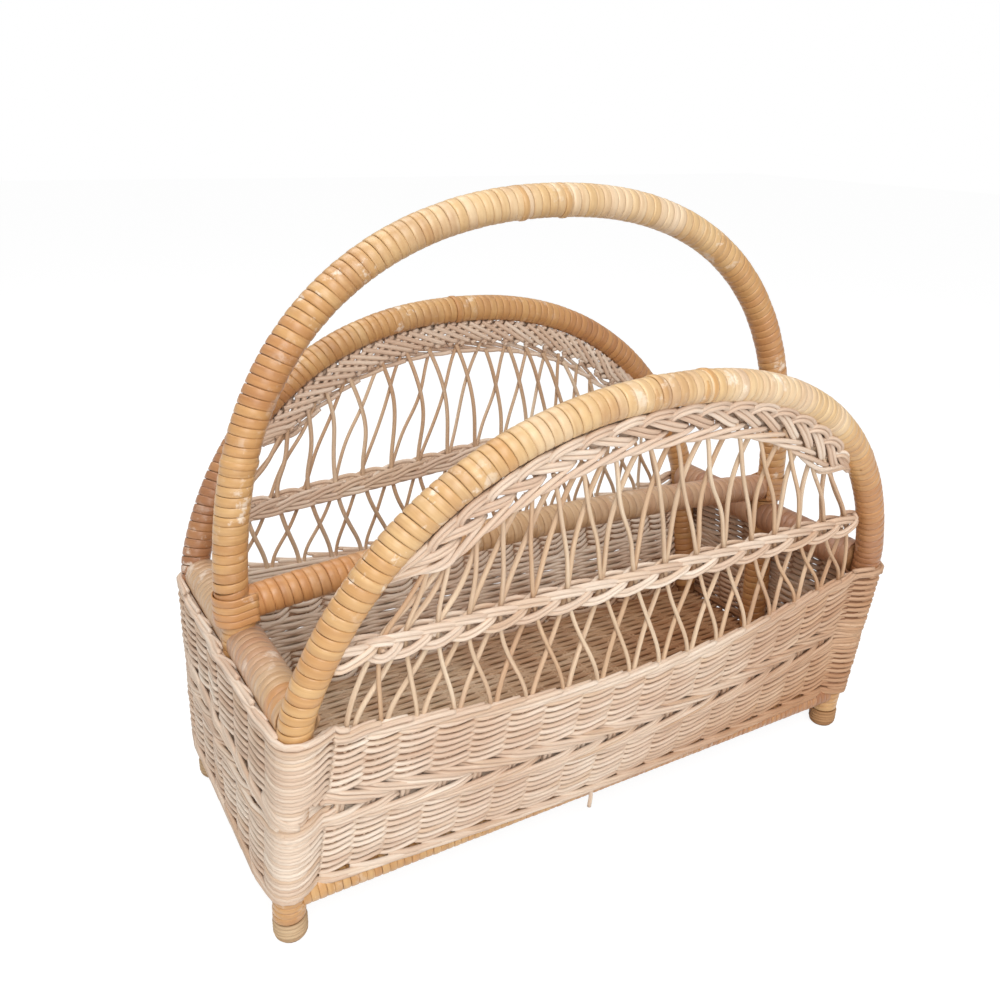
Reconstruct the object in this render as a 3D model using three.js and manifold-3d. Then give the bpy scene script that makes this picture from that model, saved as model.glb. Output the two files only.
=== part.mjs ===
// A wicker magazine basket: three wrapped rattan hoops, a woven box and two open lattice panels.
// Millimetres, +Z up, X along the basket, Y across it, origin on the floor under the middle.
import * as THREE from "three";
import { mergeVertices } from "three/addons/utils/BufferGeometryUtils.js";
import Module from "manifold-3d";

const wasm = await Module();
wasm.setup();

// Overall sizes
const footHalfLength = 205;
const rimToeIn = 5;
const rimHalfLength = footHalfLength - rimToeIn;
const footHalfDepth = 78;
const poleLeanShare = 0.14;
const rimHeight = 140;
const archSpringRise = 6;
const archRise = 149.5;
const handleSpringRise = 26;
const handleRise = 231;
const archSpringHeight = rimHeight + archSpringRise;
const archTopHeight = rimHeight + archRise;
const handleSpringHeight = rimHeight + handleSpringRise;
const handleTopHeight = rimHeight + handleRise;
const handleOutset = 2;
const handleHalfLength = rimHalfLength + handleOutset;
const handleTuckInset = 0.8;

// Poles, the cane bound round them and the clearance between neighbours
const clearance = 0.3;
const archPoleRadius = 7.6;
const handlePoleRadius = 8.1;
const railPoleRadius = 9.9;
const basePoleRadius = 6.6;
const floorBarRadius = 5;
const caneThickness = 1.1;
const archWrapRadius = archPoleRadius + clearance + caneThickness;
const handleWrapRadius = handlePoleRadius + clearance + caneThickness;
const baseWrapRadius = basePoleRadius + clearance + caneThickness;
const poleSides = 8;
const archSteps = 28;
const handleSteps = 30;

// Heights and places of the straight poles
const railRise = 1;
const railHeight = rimHeight + railRise;
const railInset = 3;
const railHalfLength = rimHalfLength - railInset;
const barRise = 23;
const barEndHeight = rimHeight + barRise;
const barHalfLength = handleHalfLength - handlePoleRadius / 2;
const barCrown = 10;
const barPointShares = [-1, -0.6, -0.2, 0.2, 0.6, 1];
const barSteps = 8;
const floorBarSpacing = 150;

// Feet and lashings
const footCoreFull = 6.9;
const footHeight = 13;
const footRoundHeight = 5;
const footFlatRadius = 4.5;
const footReedRadius = 0.95;
const footReedSides = 5;
const footTurns = 4.5;
const footBandHeight = 1.7;
const footBandPitch = 2.2;
const footBandTurns = 2;
const coilSteps = 8;
const footCoreSteps = 3;
const barLashHeight = 13;
const barLashReach = 12;

// The legs lean from the top of the foot lashings, and the base rails lie just above them
const baseRailGap = 0.6;
const stubHeight = footHeight + clearance + footBandHeight + footBandTurns * footBandPitch;
const baseRailHeight = stubHeight + baseRailGap + baseWrapRadius;

// Woven box: what stands out from the corner pole axes at the long sides, corners and ends
const sideInset = 3.5;
const sideOutset = 4.5;
const cornerFacetShare = 1.06;
const cornerInner = (archPoleRadius + clearance) * cornerFacetShare;
const cornerOuter = 11;
const endInner = handleWrapRadius + 3 * clearance;
const endOuter = 14.2;
const cornerBlend = 18;
const rowRelief = 2.2;
const cornerReliefShare = 0.5;
const baseBorderRise = 3;
const baseBorderHeight = 7;
const baseBorderReach = 3;
const lowerWeaveHeight = 36;
const waleHeight = 22;
const baseBorderBottom = baseRailHeight + baseBorderRise;
const baseBorderTop = baseBorderBottom + baseBorderHeight;
const waleBottom = baseBorderTop + lowerWeaveHeight;
const waleTop = waleBottom + waleHeight;
const waleProud = 1.4;
const rimBorderHeight = 7.5;
const rimBorderProud = 0.9;
const lowerRows = 8;
const waleRows = 4;
const borderRows = 1;
const upperRows = 8;
const rimBulge = 15;
const baseBulge = 8;
const rimSag = 12.5;
const baseSag = 3.5;
const bowPower = 1.4;
const sidePointShares = [0.7, 0.35, 0];
const floorThickness = 4;
const floorBottom = baseRailHeight + baseWrapRadius + clearance;
const floorTop = floorBottom + floorThickness;

// Lattice panels
const stakePairs = 17;
const stakeMargin = 27.2;
const stakePitch = (2 * (rimHalfLength - stakeMargin)) / (stakePairs - 1);
const stakeRadius = 1.7;
const frontBraidRise = 38;
const backBraidRise = 44;
const midBraidTall = 11;
const midBraidStrand = 3;
const braidLinkWidth = 4;
const braidLinkSpacing = 3;
const archBraidRise = 86;
const archBraidStart = rimHeight + archBraidRise;
const archBraidEndGap = 2;
const archBraidDeep = 14;
const archBraidThick = 8;
const twiningDeep = 7;
const twiningThick = 6;
const twiningSides = 6;
const panelSteps = 18;
const legSamples = 4;
const topSamples = 12;

// Curve forms of the hoops above their springing: how square the shoulders are
const archStartShare = 0.446;
const archRisePower = 2.61;
const archSpanPower = 2.22;
const handleStartShare = 0.2;
const handleRisePower = 3.16;
const handleSpanPower = 2.18;
const hoopSamples = 10;
const halvings = 30;

function poleHalfDepth(height) {
  return footHalfDepth + poleLeanShare * Math.max(0, height - stubHeight);
}

// Direction square to a panel and its arch, which lean outwards together
function panelNormal(side) {
  return new THREE.Vector3(0, 1, -side * poleLeanShare);
}

function poleHalfLength(height) {
  const share = Math.max(0, height - stubHeight) / (archSpringHeight - stubHeight);
  return footHalfLength + (rimHalfLength - footHalfLength) * share;
}

const acrossNormal = new THREE.Vector3(1, 0, 0);
const alongNormal = new THREE.Vector3(0, 1, 0);

// A smooth path whose cross sections keep to one plane's normal, so poles and bindings agree
class PolePath extends THREE.CatmullRomCurve3 {
  constructor(points, planeNormal) {
    super(points, false, "centripetal");
    this.planeNormal = planeNormal.clone().normalize();
  }

  frameAt(share) {
    const tangent = this.getTangentAt(share);
    const along = this.planeNormal.dot(tangent);
    const normal = this.planeNormal.clone().addScaledVector(tangent, -along).normalize();
    const binormal = new THREE.Vector3().crossVectors(tangent, normal);
    return { point: this.getPointAt(share), tangent, normal, binormal };
  }

  computeFrenetFrames(steps) {
    const frames = Array.from({ length: steps + 1 }, (_, step) => this.frameAt(step / steps));
    return {
      tangents: frames.map((frame) => frame.tangent),
      normals: frames.map((frame) => frame.normal),
      binormals: frames.map((frame) => frame.binormal),
    };
  }
}

function straightPath(start, end, planeNormal) {
  const middle = start.clone().lerp(end, 0.5);
  return new PolePath([start, middle, end], planeNormal);
}

// One side of a hoop from its springing to its top, as pairs of half-length and height
function hoopShoulder(springHeight, topHeight, halfLength, startShare, risePower, spanPower) {
  const places = [];
  for (let sample = 0; sample <= hoopSamples; sample++) {
    const rise = Math.sin((sample / hoopSamples) * (Math.PI / 2));
    const share = startShare + (1 - startShare) * rise;
    const span = (1 - share ** risePower) / (1 - startShare ** risePower);
    places.push([halfLength * span ** (1 / spanPower), springHeight + (topHeight - springHeight) * rise]);
  }
  return places;
}

function hoopPath(leg, shoulder, depthAt, planeNormal) {
  const right = [...leg, ...shoulder];
  const place = (x, z) => new THREE.Vector3(x, depthAt(z), z);
  const left = right.map(([x, z]) => place(-x, z));
  const back = right.slice(0, -1).reverse().map(([x, z]) => place(x, z));
  return new PolePath([...left, ...back], planeNormal);
}

function archPath(side) {
  const legMiddle = (stubHeight + archSpringHeight) / 2;
  const leg = [
    [footHalfLength, footHeight],
    [footHalfLength, stubHeight],
    [poleHalfLength(legMiddle), legMiddle],
  ];
  const shoulder = hoopShoulder(
    archSpringHeight, archTopHeight, rimHalfLength, archStartShare, archRisePower, archSpanPower);
  return hoopPath(leg, shoulder, (z) => side * poleHalfDepth(z), panelNormal(side));
}

function handlePath() {
  const bottom = floorTop + 2 * clearance;
  const tuckTop = railHeight - handleWrapRadius;
  const heights = [bottom, (bottom + tuckTop) / 2, tuckTop];
  const leg = heights.map((z) => [poleHalfLength(z) - handleTuckInset, z]);
  const shoulder = hoopShoulder(
    handleSpringHeight, handleTopHeight, handleHalfLength,
    handleStartShare, handleRisePower, handleSpanPower);
  return hoopPath(leg, shoulder, () => 0, alongNormal);
}

// Share of a hoop's length at which its left leg reaches a height
function shareAtHeight(path, height) {
  let low = 0;
  let high = 0.5;
  for (let halving = 0; halving < halvings; halving++) {
    const middle = (low + high) / 2;
    if (path.getPointAt(middle).z < height) low = middle;
    else high = middle;
  }
  return high;
}

function polygon(width, height, sides) {
  const corners = [];
  for (let corner = 0; corner < sides; corner++) {
    const turn = (corner / sides) * 2 * Math.PI;
    corners.push(new THREE.Vector2(width * Math.cos(turn), height * Math.sin(turn)));
  }
  return corners;
}

function tube(path, radius, steps, sides = poleSides) {
  return ovalTube(path, radius, radius, steps, sides);
}

// An oval rod: thick across the plane of its path, deep within it
function ovalTube(path, thick, deep, steps, sides) {
  const section = new THREE.Shape(polygon(thick, deep, sides));
  return new THREE.ExtrudeGeometry(section, { extrudePath: path, steps, bevelEnabled: false });
}

function ringAt(path, share, radius) {
  const { point, normal, binormal } = path.frameAt(share);
  return polygon(radius, radius, poleSides).map((corner) =>
    point.clone().addScaledVector(normal, corner.x).addScaledVector(binormal, corner.y));
}

// Rings of equal count, each stitched to the next and the last to the first
function closedLoft(rings) {
  const count = rings[0].length;
  const positions = rings.flat().flatMap((point) => [point.x, point.y, point.z]);
  const index = [];
  for (let ring = 0; ring < rings.length; ring++) {
    const here = ring * count;
    const next = ((ring + 1) % rings.length) * count;
    for (let corner = 0; corner < count; corner++) {
      const after = (corner + 1) % count;
      index.push(here + corner, here + after, next + after, here + corner, next + after, next + corner);
    }
  }
  const geometry = new THREE.BufferGeometry();
  geometry.setAttribute("position", new THREE.Float32BufferAttribute(positions, 3));
  geometry.setIndex(index);
  geometry.computeVertexNormals();
  return geometry;
}

// Cane bound round a pole: a sleeve whose rings sit at the pole's own steps
function binding(path, poleRadius, poleSteps, firstStep, lastStep) {
  const inside = poleRadius + clearance;
  const rings = [];
  for (let step = firstStep; step <= lastStep; step++) {
    rings.push(ringAt(path, step / poleSteps, inside + caneThickness));
  }
  for (let step = lastStep; step >= firstStep; step--) {
    rings.push(ringAt(path, step / poleSteps, inside));
  }
  return closedLoft(rings);
}

function toSolid(geometry) {
  const bare = geometry.clone();
  bare.deleteAttribute("normal");
  bare.deleteAttribute("uv");
  const merged = mergeVertices(bare);
  return new wasm.Manifold(new wasm.Mesh({
    numProp: 3,
    vertProperties: new Float32Array(merged.attributes.position.array),
    triVerts: new Uint32Array(merged.index.array),
  }));
}

function toGeometry(solid) {
  const mesh = solid.getMesh();
  const geometry = new THREE.BufferGeometry();
  geometry.setAttribute("position", new THREE.BufferAttribute(new Float32Array(mesh.vertProperties), 3));
  geometry.setIndex(new THREE.BufferAttribute(new Uint32Array(mesh.triVerts), 1));
  geometry.computeVertexNormals();
  return geometry;
}

function cut(geometry, ...cutters) {
  return toGeometry(cutters.reduce((solid, cutter) => solid.subtract(toSolid(cutter)), toSolid(geometry)));
}

function join(geometries) {
  return toGeometry(geometries.map(toSolid).reduce((whole, solid) => whole.add(solid)));
}

const basket = new THREE.Group();

function addPiece(name, geometry, material) {
  const mesh = new THREE.Mesh(geometry, material.clone());
  mesh.name = name;
  basket.add(mesh);
}

const rattanCore = new THREE.MeshStandardMaterial({ color: 0xc49a68, roughness: 0.7, metalness: 0 });
const caneSkin = new THREE.MeshStandardMaterial({ color: 0xd9b074, roughness: 0.35, metalness: 0 });
const roundReed = new THREE.MeshStandardMaterial({ color: 0xe3cbb0, roughness: 0.75, metalness: 0 });

// The three hoops: two leaning arches whose legs are the corner poles, and the handle between them
const sides = { front: -1, back: 1 };
const ends = { left: -1, right: 1 };
const arches = { front: archPath(sides.front), back: archPath(sides.back) };
const handle = handlePath();

function firstStepAbove(path, steps, height) {
  return Math.ceil(shareAtHeight(path, height) * steps);
}

// Whittled end of a leg, flat where it stands, inside the foot's winding
function footCore() {
  const profile = [new THREE.Vector2(0, 0)];
  for (let step = 0; step <= footCoreSteps; step++) {
    const height = footRoundHeight * (step / footCoreSteps);
    profile.push(new THREE.Vector2(footCoreRadius(height), height));
  }
  const top = footHeight + archPoleRadius - footCoreFull;
  profile.push(new THREE.Vector2(footCoreFull, top), new THREE.Vector2(0, top));
  const lathe = new THREE.LatheGeometry(profile, 2 * poleSides);
  lathe.rotateX(Math.PI / 2);
  return lathe;
}

function archPole(path, side) {
  const cores = Object.values(ends).map((end) => {
    const core = footCore();
    core.translate(end * footHalfLength, side * footHalfDepth, 0);
    return core;
  });
  return join([tube(path, archPoleRadius, archSteps), ...cores]);
}

for (const name of Object.keys(sides)) {
  const path = arches[name];
  const first = firstStepAbove(path, archSteps, rimHeight + clearance);
  addPiece(`${name}_arch_pole`, archPole(path, sides[name]), rattanCore);
  const skin = binding(path, archPoleRadius, archSteps, first, archSteps - first);
  addPiece(`${name}_arch_binding`, skin, caneSkin);
}
addPiece("handle_pole", tube(handle, handlePoleRadius, handleSteps), rattanCore);
addPiece("handle_binding", binding(handle, handlePoleRadius, handleSteps, 0, handleSteps), caneSkin);

// Room that a straight pole leaves where it meets an arch leg or a handle leg
const archRoom = Object.values(arches).map((path) => tube(path, archWrapRadius + clearance, archSteps));
const archLegRoom = Object.values(arches).map((path) => tube(path, archPoleRadius + clearance, archSteps));
const handleRoom = [tube(handle, handleWrapRadius + clearance, handleSteps)];

// A short wrapped pole whose ends are coped to the poles that it meets
function addWrappedPole(name, path, poleRadius, steps, cutters) {
  addPiece(`${name}_pole`, cut(tube(path, poleRadius, steps), ...cutters), rattanCore);
  addPiece(`${name}_binding`, cut(binding(path, poleRadius, steps, 0, steps), ...cutters), caneSkin);
}

// End rails at the rim, each in two lengths from a corner pole to the handle leg
const railEnd = poleHalfDepth(rimHeight) - stakeRadius - 2 * clearance;
for (const [endName, end] of Object.entries(ends)) {
  for (const [sideName, side] of Object.entries(sides)) {
    const start = side * (handleWrapRadius + clearance);
    const inner = new THREE.Vector3(end * railHalfLength, start, railHeight);
    const outer = new THREE.Vector3(end * railHalfLength, side * railEnd, railHeight);
    const path = straightPath(inner, outer, acrossNormal);
    addWrappedPole(`${endName}_rail_${sideName}`, path, railPoleRadius, 1, archRoom);
  }
}

// Centre bar between the handle legs, crowned a little in the middle
function barPath() {
  const points = [];
  for (const share of barPointShares) {
    points.push(new THREE.Vector3(share * barHalfLength, 0, barEndHeight + barCrown * (1 - share ** 2)));
  }
  return new PolePath(points, alongNormal);
}
addWrappedPole("centre_bar", barPath(), handlePoleRadius, barSteps, handleRoom);

// Base rails between the feet of the corner poles
const baseHalfDepth = poleHalfDepth(baseRailHeight);
const baseHalfLength = poleHalfLength(baseRailHeight);

// Long base rail: its ends are coped to the legs, half a pole's radius short of their axes
function longRailPath(side) {
  const reach = baseHalfLength - archPoleRadius / 2;
  const start = new THREE.Vector3(-reach, side * baseHalfDepth, baseRailHeight);
  const end = new THREE.Vector3(reach, side * baseHalfDepth, baseRailHeight);
  return straightPath(start, end, alongNormal);
}

for (const [name, side] of Object.entries(sides)) {
  addWrappedPole(`${name}_base_rail`, longRailPath(side), basePoleRadius, 1, archLegRoom);
}
for (const [name, end] of Object.entries(ends)) {
  const reach = baseHalfDepth - baseWrapRadius - clearance;
  const start = new THREE.Vector3(end * baseHalfLength, -reach, baseRailHeight);
  const finish = new THREE.Vector3(end * baseHalfLength, reach, baseRailHeight);
  const path = straightPath(start, finish, acrossNormal);
  addWrappedPole(`${name}_base_rail`, path, basePoleRadius, 1, archLegRoom);
}

// Two bare bars under the woven floor, coped to the base rails
const baseRailRoom = Object.values(sides).map((side) => {
  return tube(longRailPath(side), baseWrapRadius + clearance, 1);
});
for (const [name, end] of Object.entries(ends)) {
  const height = floorBottom - clearance - floorBarRadius;
  const start = new THREE.Vector3(end * floorBarSpacing / 2, -baseHalfDepth, height);
  const finish = new THREE.Vector3(end * floorBarSpacing / 2, baseHalfDepth, height);
  const bar = tube(straightPath(start, finish, acrossNormal), floorBarRadius, 1);
  addPiece(`floor_bar_${name}`, cut(bar, ...baseRailRoom), rattanCore);
}

// The long sides bow outwards and hang a little lower in the middle, most at the rim
function bowShare(x) {
  return Math.max(0, 1 - (x / rimHalfLength) ** 2) ** bowPower;
}

function sideBulge(height) {
  return THREE.MathUtils.mapLinear(height, baseBorderBottom, rimHeight, baseBulge, rimBulge);
}

function sideSag(height) {
  return THREE.MathUtils.mapLinear(height, baseBorderBottom, rimHeight, baseSag, rimSag);
}

// Outline of the woven box at a height, standing out by its own amounts at sides, corners and ends
const cornerTurns = [0, 45, 90, 125];

function boxOutline(height, atSide, atCorner, atEnd) {
  const halfLength = poleHalfLength(height);
  const halfDepth = poleHalfDepth(height);
  const quarter = cornerTurns.map((degrees) => {
    const turn = THREE.MathUtils.degToRad(degrees);
    return [halfLength + atEnd * Math.cos(turn), halfDepth + atCorner * Math.sin(turn), height];
  });
  for (const share of [1, ...sidePointShares]) {
    const x = share * (halfLength - cornerBlend);
    const bow = bowShare(x);
    quarter.push([x, halfDepth + atSide + sideBulge(height) * bow, height - sideSag(height) * bow]);
  }
  const mirrored = quarter.slice(0, -1).reverse();
  const loop = [
    ...quarter,
    ...mirrored.map(([x, y, z]) => [-x, y, z]),
    ...quarter.map(([x, y, z]) => [-x, -y, z]),
    ...mirrored.map(([x, y, z]) => [x, -y, z]),
  ];
  return loop.map(([x, y, z]) => new THREE.Vector3(x, y, z));
}

// A woven band of the box: its rows swell on the outside, its inside is plain
function wovenBand(bottom, top, rows, proud) {
  const rings = [boxOutline(bottom, -sideInset, cornerInner, endInner)];
  const rowHeight = (top - bottom) / rows;
  const outside = (height, out) => {
    const corner = cornerOuter + cornerReliefShare * out;
    rings.push(boxOutline(height, sideOutset + out, corner, endOuter + out));
  };
  for (let row = 0; row < rows; row++) {
    outside(bottom + row * rowHeight, proud - rowRelief);
    outside(bottom + (row + 0.5) * rowHeight, proud);
  }
  outside(top, proud - rowRelief);
  rings.push(boxOutline(top, -sideInset, cornerInner, endInner));
  return closedLoft(rings);
}

function baseBorder() {
  const inside = baseWrapRadius + clearance;
  const outside = inside + baseBorderReach;
  return closedLoft([
    boxOutline(baseBorderBottom, inside, inside, endInner),
    boxOutline(baseBorderBottom, outside, cornerOuter, endOuter),
    boxOutline(baseBorderTop, outside, cornerOuter, endOuter),
    boxOutline(baseBorderTop, inside, inside, endInner),
  ]);
}

const rimBorderBottom = rimHeight - rimBorderHeight;
const lowerWeave = wovenBand(baseBorderTop + clearance, waleBottom - clearance, lowerRows, 0);
const upperWeave = wovenBand(waleTop + clearance, rimBorderBottom - clearance, upperRows, 0);
addPiece("base_border", baseBorder(), roundReed);
addPiece("lower_weave", lowerWeave, roundReed);
addPiece("wale_band", wovenBand(waleBottom, waleTop, waleRows, waleProud), roundReed);
addPiece("upper_weave", upperWeave, roundReed);
addPiece("rim_border", wovenBand(rimBorderBottom, rimHeight, borderRows, rimBorderProud), roundReed);

// Woven floor on the base rails, notched round the corner poles
function wovenFloor() {
  const halfLength = poleHalfLength(floorBottom) + endInner - clearance;
  const halfDepth = poleHalfDepth(floorBottom) - sideInset - clearance;
  const plate = new THREE.BoxGeometry(2 * halfLength, 2 * halfDepth, floorThickness);
  plate.translate(0, 0, floorBottom + floorThickness / 2);
  return cut(plate, ...archLegRoom);
}
addPiece("floor_weave", wovenFloor(), roundReed);

// Path inside the curve of an arch, between the places where its two legs pass a height
function insidePath(arch, side, offset, startHeight) {
  const start = shareAtHeight(arch, startHeight);
  const points = [];
  for (let step = 0; step <= panelSteps; step++) {
    const { point, binormal } = arch.frameAt(start + (1 - 2 * start) * (step / panelSteps));
    points.push(point.addScaledVector(binormal, -offset));
  }
  return new PolePath(points, panelNormal(side));
}

const braidOffset = archWrapRadius + 2 * clearance + archBraidDeep / 2;
const twiningOffset = braidOffset + archBraidDeep / 2 + 2 * clearance + twiningDeep / 2;
const latticeOffset = twiningOffset + twiningDeep / 2 + 3 * clearance;
const latticeLegOffset = archWrapRadius + 2 * clearance;

// The panels are made upright and flat, then leaned over with the arch
const leanAngle = Math.atan(poleLeanShare);

function flatHeight(height) {
  return (height - stubHeight) / Math.cos(leanAngle);
}

function leanOver(geometry, side) {
  geometry.rotateX(-side * leanAngle);
  geometry.translate(0, side * footHalfDepth, stubHeight);
  return geometry;
}

// Line inside the left half of an arch between two heights of its pole, as x and upright height
function insideLine(arch, fromHeight, toShare, offset, samples) {
  const from = shareAtHeight(arch, fromHeight);
  return Array.from({ length: samples + 1 }, (_, sample) => {
    const { point, binormal } = arch.frameAt(from + (toShare - from) * (sample / samples));
    const place = point.addScaledVector(binormal, -offset);
    return [place.x, flatHeight(place.z)];
  });
}

// The opening under an arch: up beside the leg, then under the twining, and the same on the right
function legLine(arch) {
  const end = shareAtHeight(arch, archBraidStart - archBraidEndGap);
  const line = insideLine(arch, rimHeight, end, latticeLegOffset, legSamples);
  line[0][1] = flatHeight(rimHeight) + 2 * clearance;
  return line;
}

function panelOutline(arch) {
  const top = insideLine(arch, archBraidStart, 0.5, latticeOffset, topSamples).slice(0, -1);
  const left = [...legLine(arch), ...top];
  return [...left, ...left.slice().reverse().map(([x, height]) => [-x, height])];
}

function outlineHeight(outline, x) {
  const after = outline.findIndex((place) => place[0] > -Math.abs(x));
  const [lower, upper] = [outline[Math.max(0, after - 1)], outline[after]];
  return THREE.MathUtils.mapLinear(-Math.abs(x), lower[0], upper[0], lower[1], upper[1]);
}

// A gap of the net drawn in by half a stake, its corners given anticlockwise
function drawnIn(corners, amount) {
  return corners.map((corner, place) => {
    const before = corner.clone().sub(corners.at(place - 1)).normalize();
    const after = corners[(place + 1) % corners.length].clone().sub(corner).normalize();
    const reach = amount / before.cross(after);
    return corner.clone().addScaledVector(after, reach).addScaledVector(before, -reach);
  });
}

// Gaps between the crossing stakes: from each pair one stake leans each way, over one place to the
// middle braid and over one more to the arch, and rises there by at least half a place
function netGaps(outline, braidHeight) {
  const base = flatHeight(rimHeight) + 2 * clearance;
  const braid = flatHeight(braidHeight);
  const lastX = ((stakePairs - 1) / 2) * stakePitch;
  const placeX = (place) => place * stakePitch - lastX;
  const least = braid + stakePitch / 2;
  const topAt = (place) => {
    const x = Math.min(Math.abs(placeX(place)), lastX);
    return Math.max(least, outlineHeight(outline, x));
  };
  const at = (place, height) => new THREE.Vector2(placeX(place), height);
  const low = (place) => at(place + 0.5, (base + braid) / 2);
  const high = (place) => {
    const [left, right] = [topAt(place) - braid, topAt(place + 1) - braid];
    return at(place + left / (left + right), braid + (left * right) / (left + right));
  };
  const past = (corner, end) => end.clone().lerp(corner, -1);
  const gaps = [];
  for (let place = -2; place <= stakePairs; place++) {
    const [next, top, nextTop] = [place + 1, at(place, topAt(place)), at(place + 1, topAt(place + 1))];
    gaps.push([past(low(place), at(place, base)), past(low(place), at(next, base)), low(place)]);
    gaps.push([at(next, base), low(next), at(next, braid), low(place)]);
    gaps.push([low(place), at(next, braid), high(place), at(place, braid)]);
    gaps.push([at(next, braid), high(next), nextTop, high(place)]);
    gaps.push([high(place), past(high(place), nextTop), past(high(place), top)]);
  }
  return gaps.map((gap) => drawnIn(gap, stakeRadius));
}

function uprightPlate(corners, thickness) {
  const outline = new THREE.Shape(corners.map(([x, height]) => new THREE.Vector2(x, height)));
  const plate = new THREE.ExtrudeGeometry(outline, { depth: thickness, bevelEnabled: false });
  plate.translate(0, 0, -thickness / 2);
  plate.rotateX(Math.PI / 2);
  return plate;
}

// What lies between two upright heights of a flat panel
function between(geometry, low, high) {
  const slab = new THREE.BoxGeometry(2 * footHalfLength, 2 * footHalfDepth, high - low);
  slab.translate(0, 0, (low + high) / 2);
  return toGeometry(toSolid(geometry).intersect(toSolid(slab)));
}

// Stakes rise from the bowed rim, so below the middle braid the net follows the rim's bow
function bowBelow(geometry, side, braidHeight) {
  const places = geometry.attributes.position;
  const braidBottom = braidHeight - midBraidTall / 2;
  for (let vertex = 0; vertex < places.count; vertex++) {
    const [x, y, z] = [places.getX(vertex), places.getY(vertex), places.getZ(vertex)];
    const share = (braidBottom - z) / (braidBottom - rimHeight);
    const bow = bowShare(x) * THREE.MathUtils.clamp(share, 0, 1);
    places.setXYZ(vertex, x, y + side * rimBulge * bow, z - rimSag * bow);
  }
  geometry.computeVertexNormals();
  return geometry;
}

// The net of stakes, with a corner stake up each leg that holds its outermost strands
function lattice(side, arch, braidHeight) {
  const outline = panelOutline(arch);
  const gaps = netGaps(outline, braidHeight).map((gap) => gap.map(({ x, y }) => [x, y]));
  const prisms = gaps.map((gap) => uprightPlate(gap, 3 * stakeRadius));
  const net = cut(uprightPlate(outline, 2 * stakeRadius), ...prisms);
  const leg = legLine(arch);
  const corner = [...leg, ...leg.slice().reverse().map(([x, height]) => [x + 2 * stakeRadius, height])];
  const mirrored = corner.map(([x, height]) => [-x, height]).reverse();
  const strips = [corner, mirrored].map((strip) => uprightPlate(strip, 2 * stakeRadius));
  const whole = join([net, ...strips]);
  const seam = flatHeight(braidHeight - midBraidTall / 2);
  const lower = leanOver(between(whole, 0, seam), side);
  const upper = leanOver(between(whole, seam - stakeRadius, flatHeight(archTopHeight)), side);
  return join([bowBelow(lower, side, braidHeight), upper]);
}

// Middle braid: one strand before and one behind the stakes, linked between the pairs
function middleBraid(side, arch, braidHeight) {
  const halfLength = -insideLine(arch, braidHeight + midBraidTall, 0.5, latticeLegOffset, 1)[0][0];
  const strandOffset = stakeRadius + 2 * clearance + midBraidStrand / 2;
  const parts = [-1, 1].map((face) => {
    const strand = new THREE.BoxGeometry(2 * halfLength, midBraidStrand, midBraidTall);
    strand.translate(0, face * strandOffset, 0);
    return strand;
  });
  const linkPitch = braidLinkSpacing * stakePitch;
  const linkReach = Math.round((halfLength - braidLinkWidth) / linkPitch);
  for (let link = -linkReach; link < linkReach; link++) {
    const tie = new THREE.BoxGeometry(braidLinkWidth, 2 * strandOffset, braidLinkWidth);
    tie.translate((link + 0.5) * linkPitch, 0, 0);
    parts.push(tie);
  }
  const braid = join(parts);
  braid.translate(0, 0, flatHeight(braidHeight));
  return leanOver(braid, side);
}

const braidHeights = { front: rimHeight + frontBraidRise, back: rimHeight + backBraidRise };
for (const [name, side] of Object.entries(sides)) {
  const arch = arches[name];
  const rod = (offset, thick, deep, rodSides) => {
    const path = insidePath(arch, side, offset, archBraidStart);
    return ovalTube(path, thick / 2, deep / 2, panelSteps, rodSides);
  };
  const braid = rod(braidOffset, archBraidThick, archBraidDeep, poleSides);
  addPiece(`${name}_lattice`, lattice(side, arch, braidHeights[name]), roundReed);
  addPiece(`${name}_middle_braid`, middleBraid(side, arch, braidHeights[name]), roundReed);
  addPiece(`${name}_arch_braid`, braid, roundReed);
  addPiece(`${name}_arch_twining`, rod(twiningOffset, twiningThick, twiningDeep, twiningSides), roundReed);
}

// How far a coil keeps from itself: the least distance between points a good part of a turn apart
function leastGap(points, stepsPerTurn, thickness) {
  let least = Infinity;
  for (let first = 0; first < points.length; first++) {
    for (let second = first + Math.ceil(stepsPerTurn / 2); second < points.length; second++) {
      least = Math.min(least, points[first].distanceTo(points[second]));
    }
  }
  return least - thickness;
}

// Radius at which a coil of straight steps clears the round piece inside it
function coilRadius(inner, halfThickness) {
  return (inner + clearance) / Math.cos(Math.PI / coilSteps) + halfThickness;
}

// Points of a coil round an upright line, its radius following the height
function coilPoints(turns, bottom, top, radiusAt) {
  const points = [];
  for (let step = 0; step <= turns * coilSteps; step++) {
    const height = bottom + (top - bottom) * (step / (turns * coilSteps));
    const turn = (step / coilSteps) * 2 * Math.PI;
    const radius = radiusAt(height);
    points.push(new THREE.Vector3(Math.cos(turn) * radius, Math.sin(turn) * radius, height));
  }
  return points;
}

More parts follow.
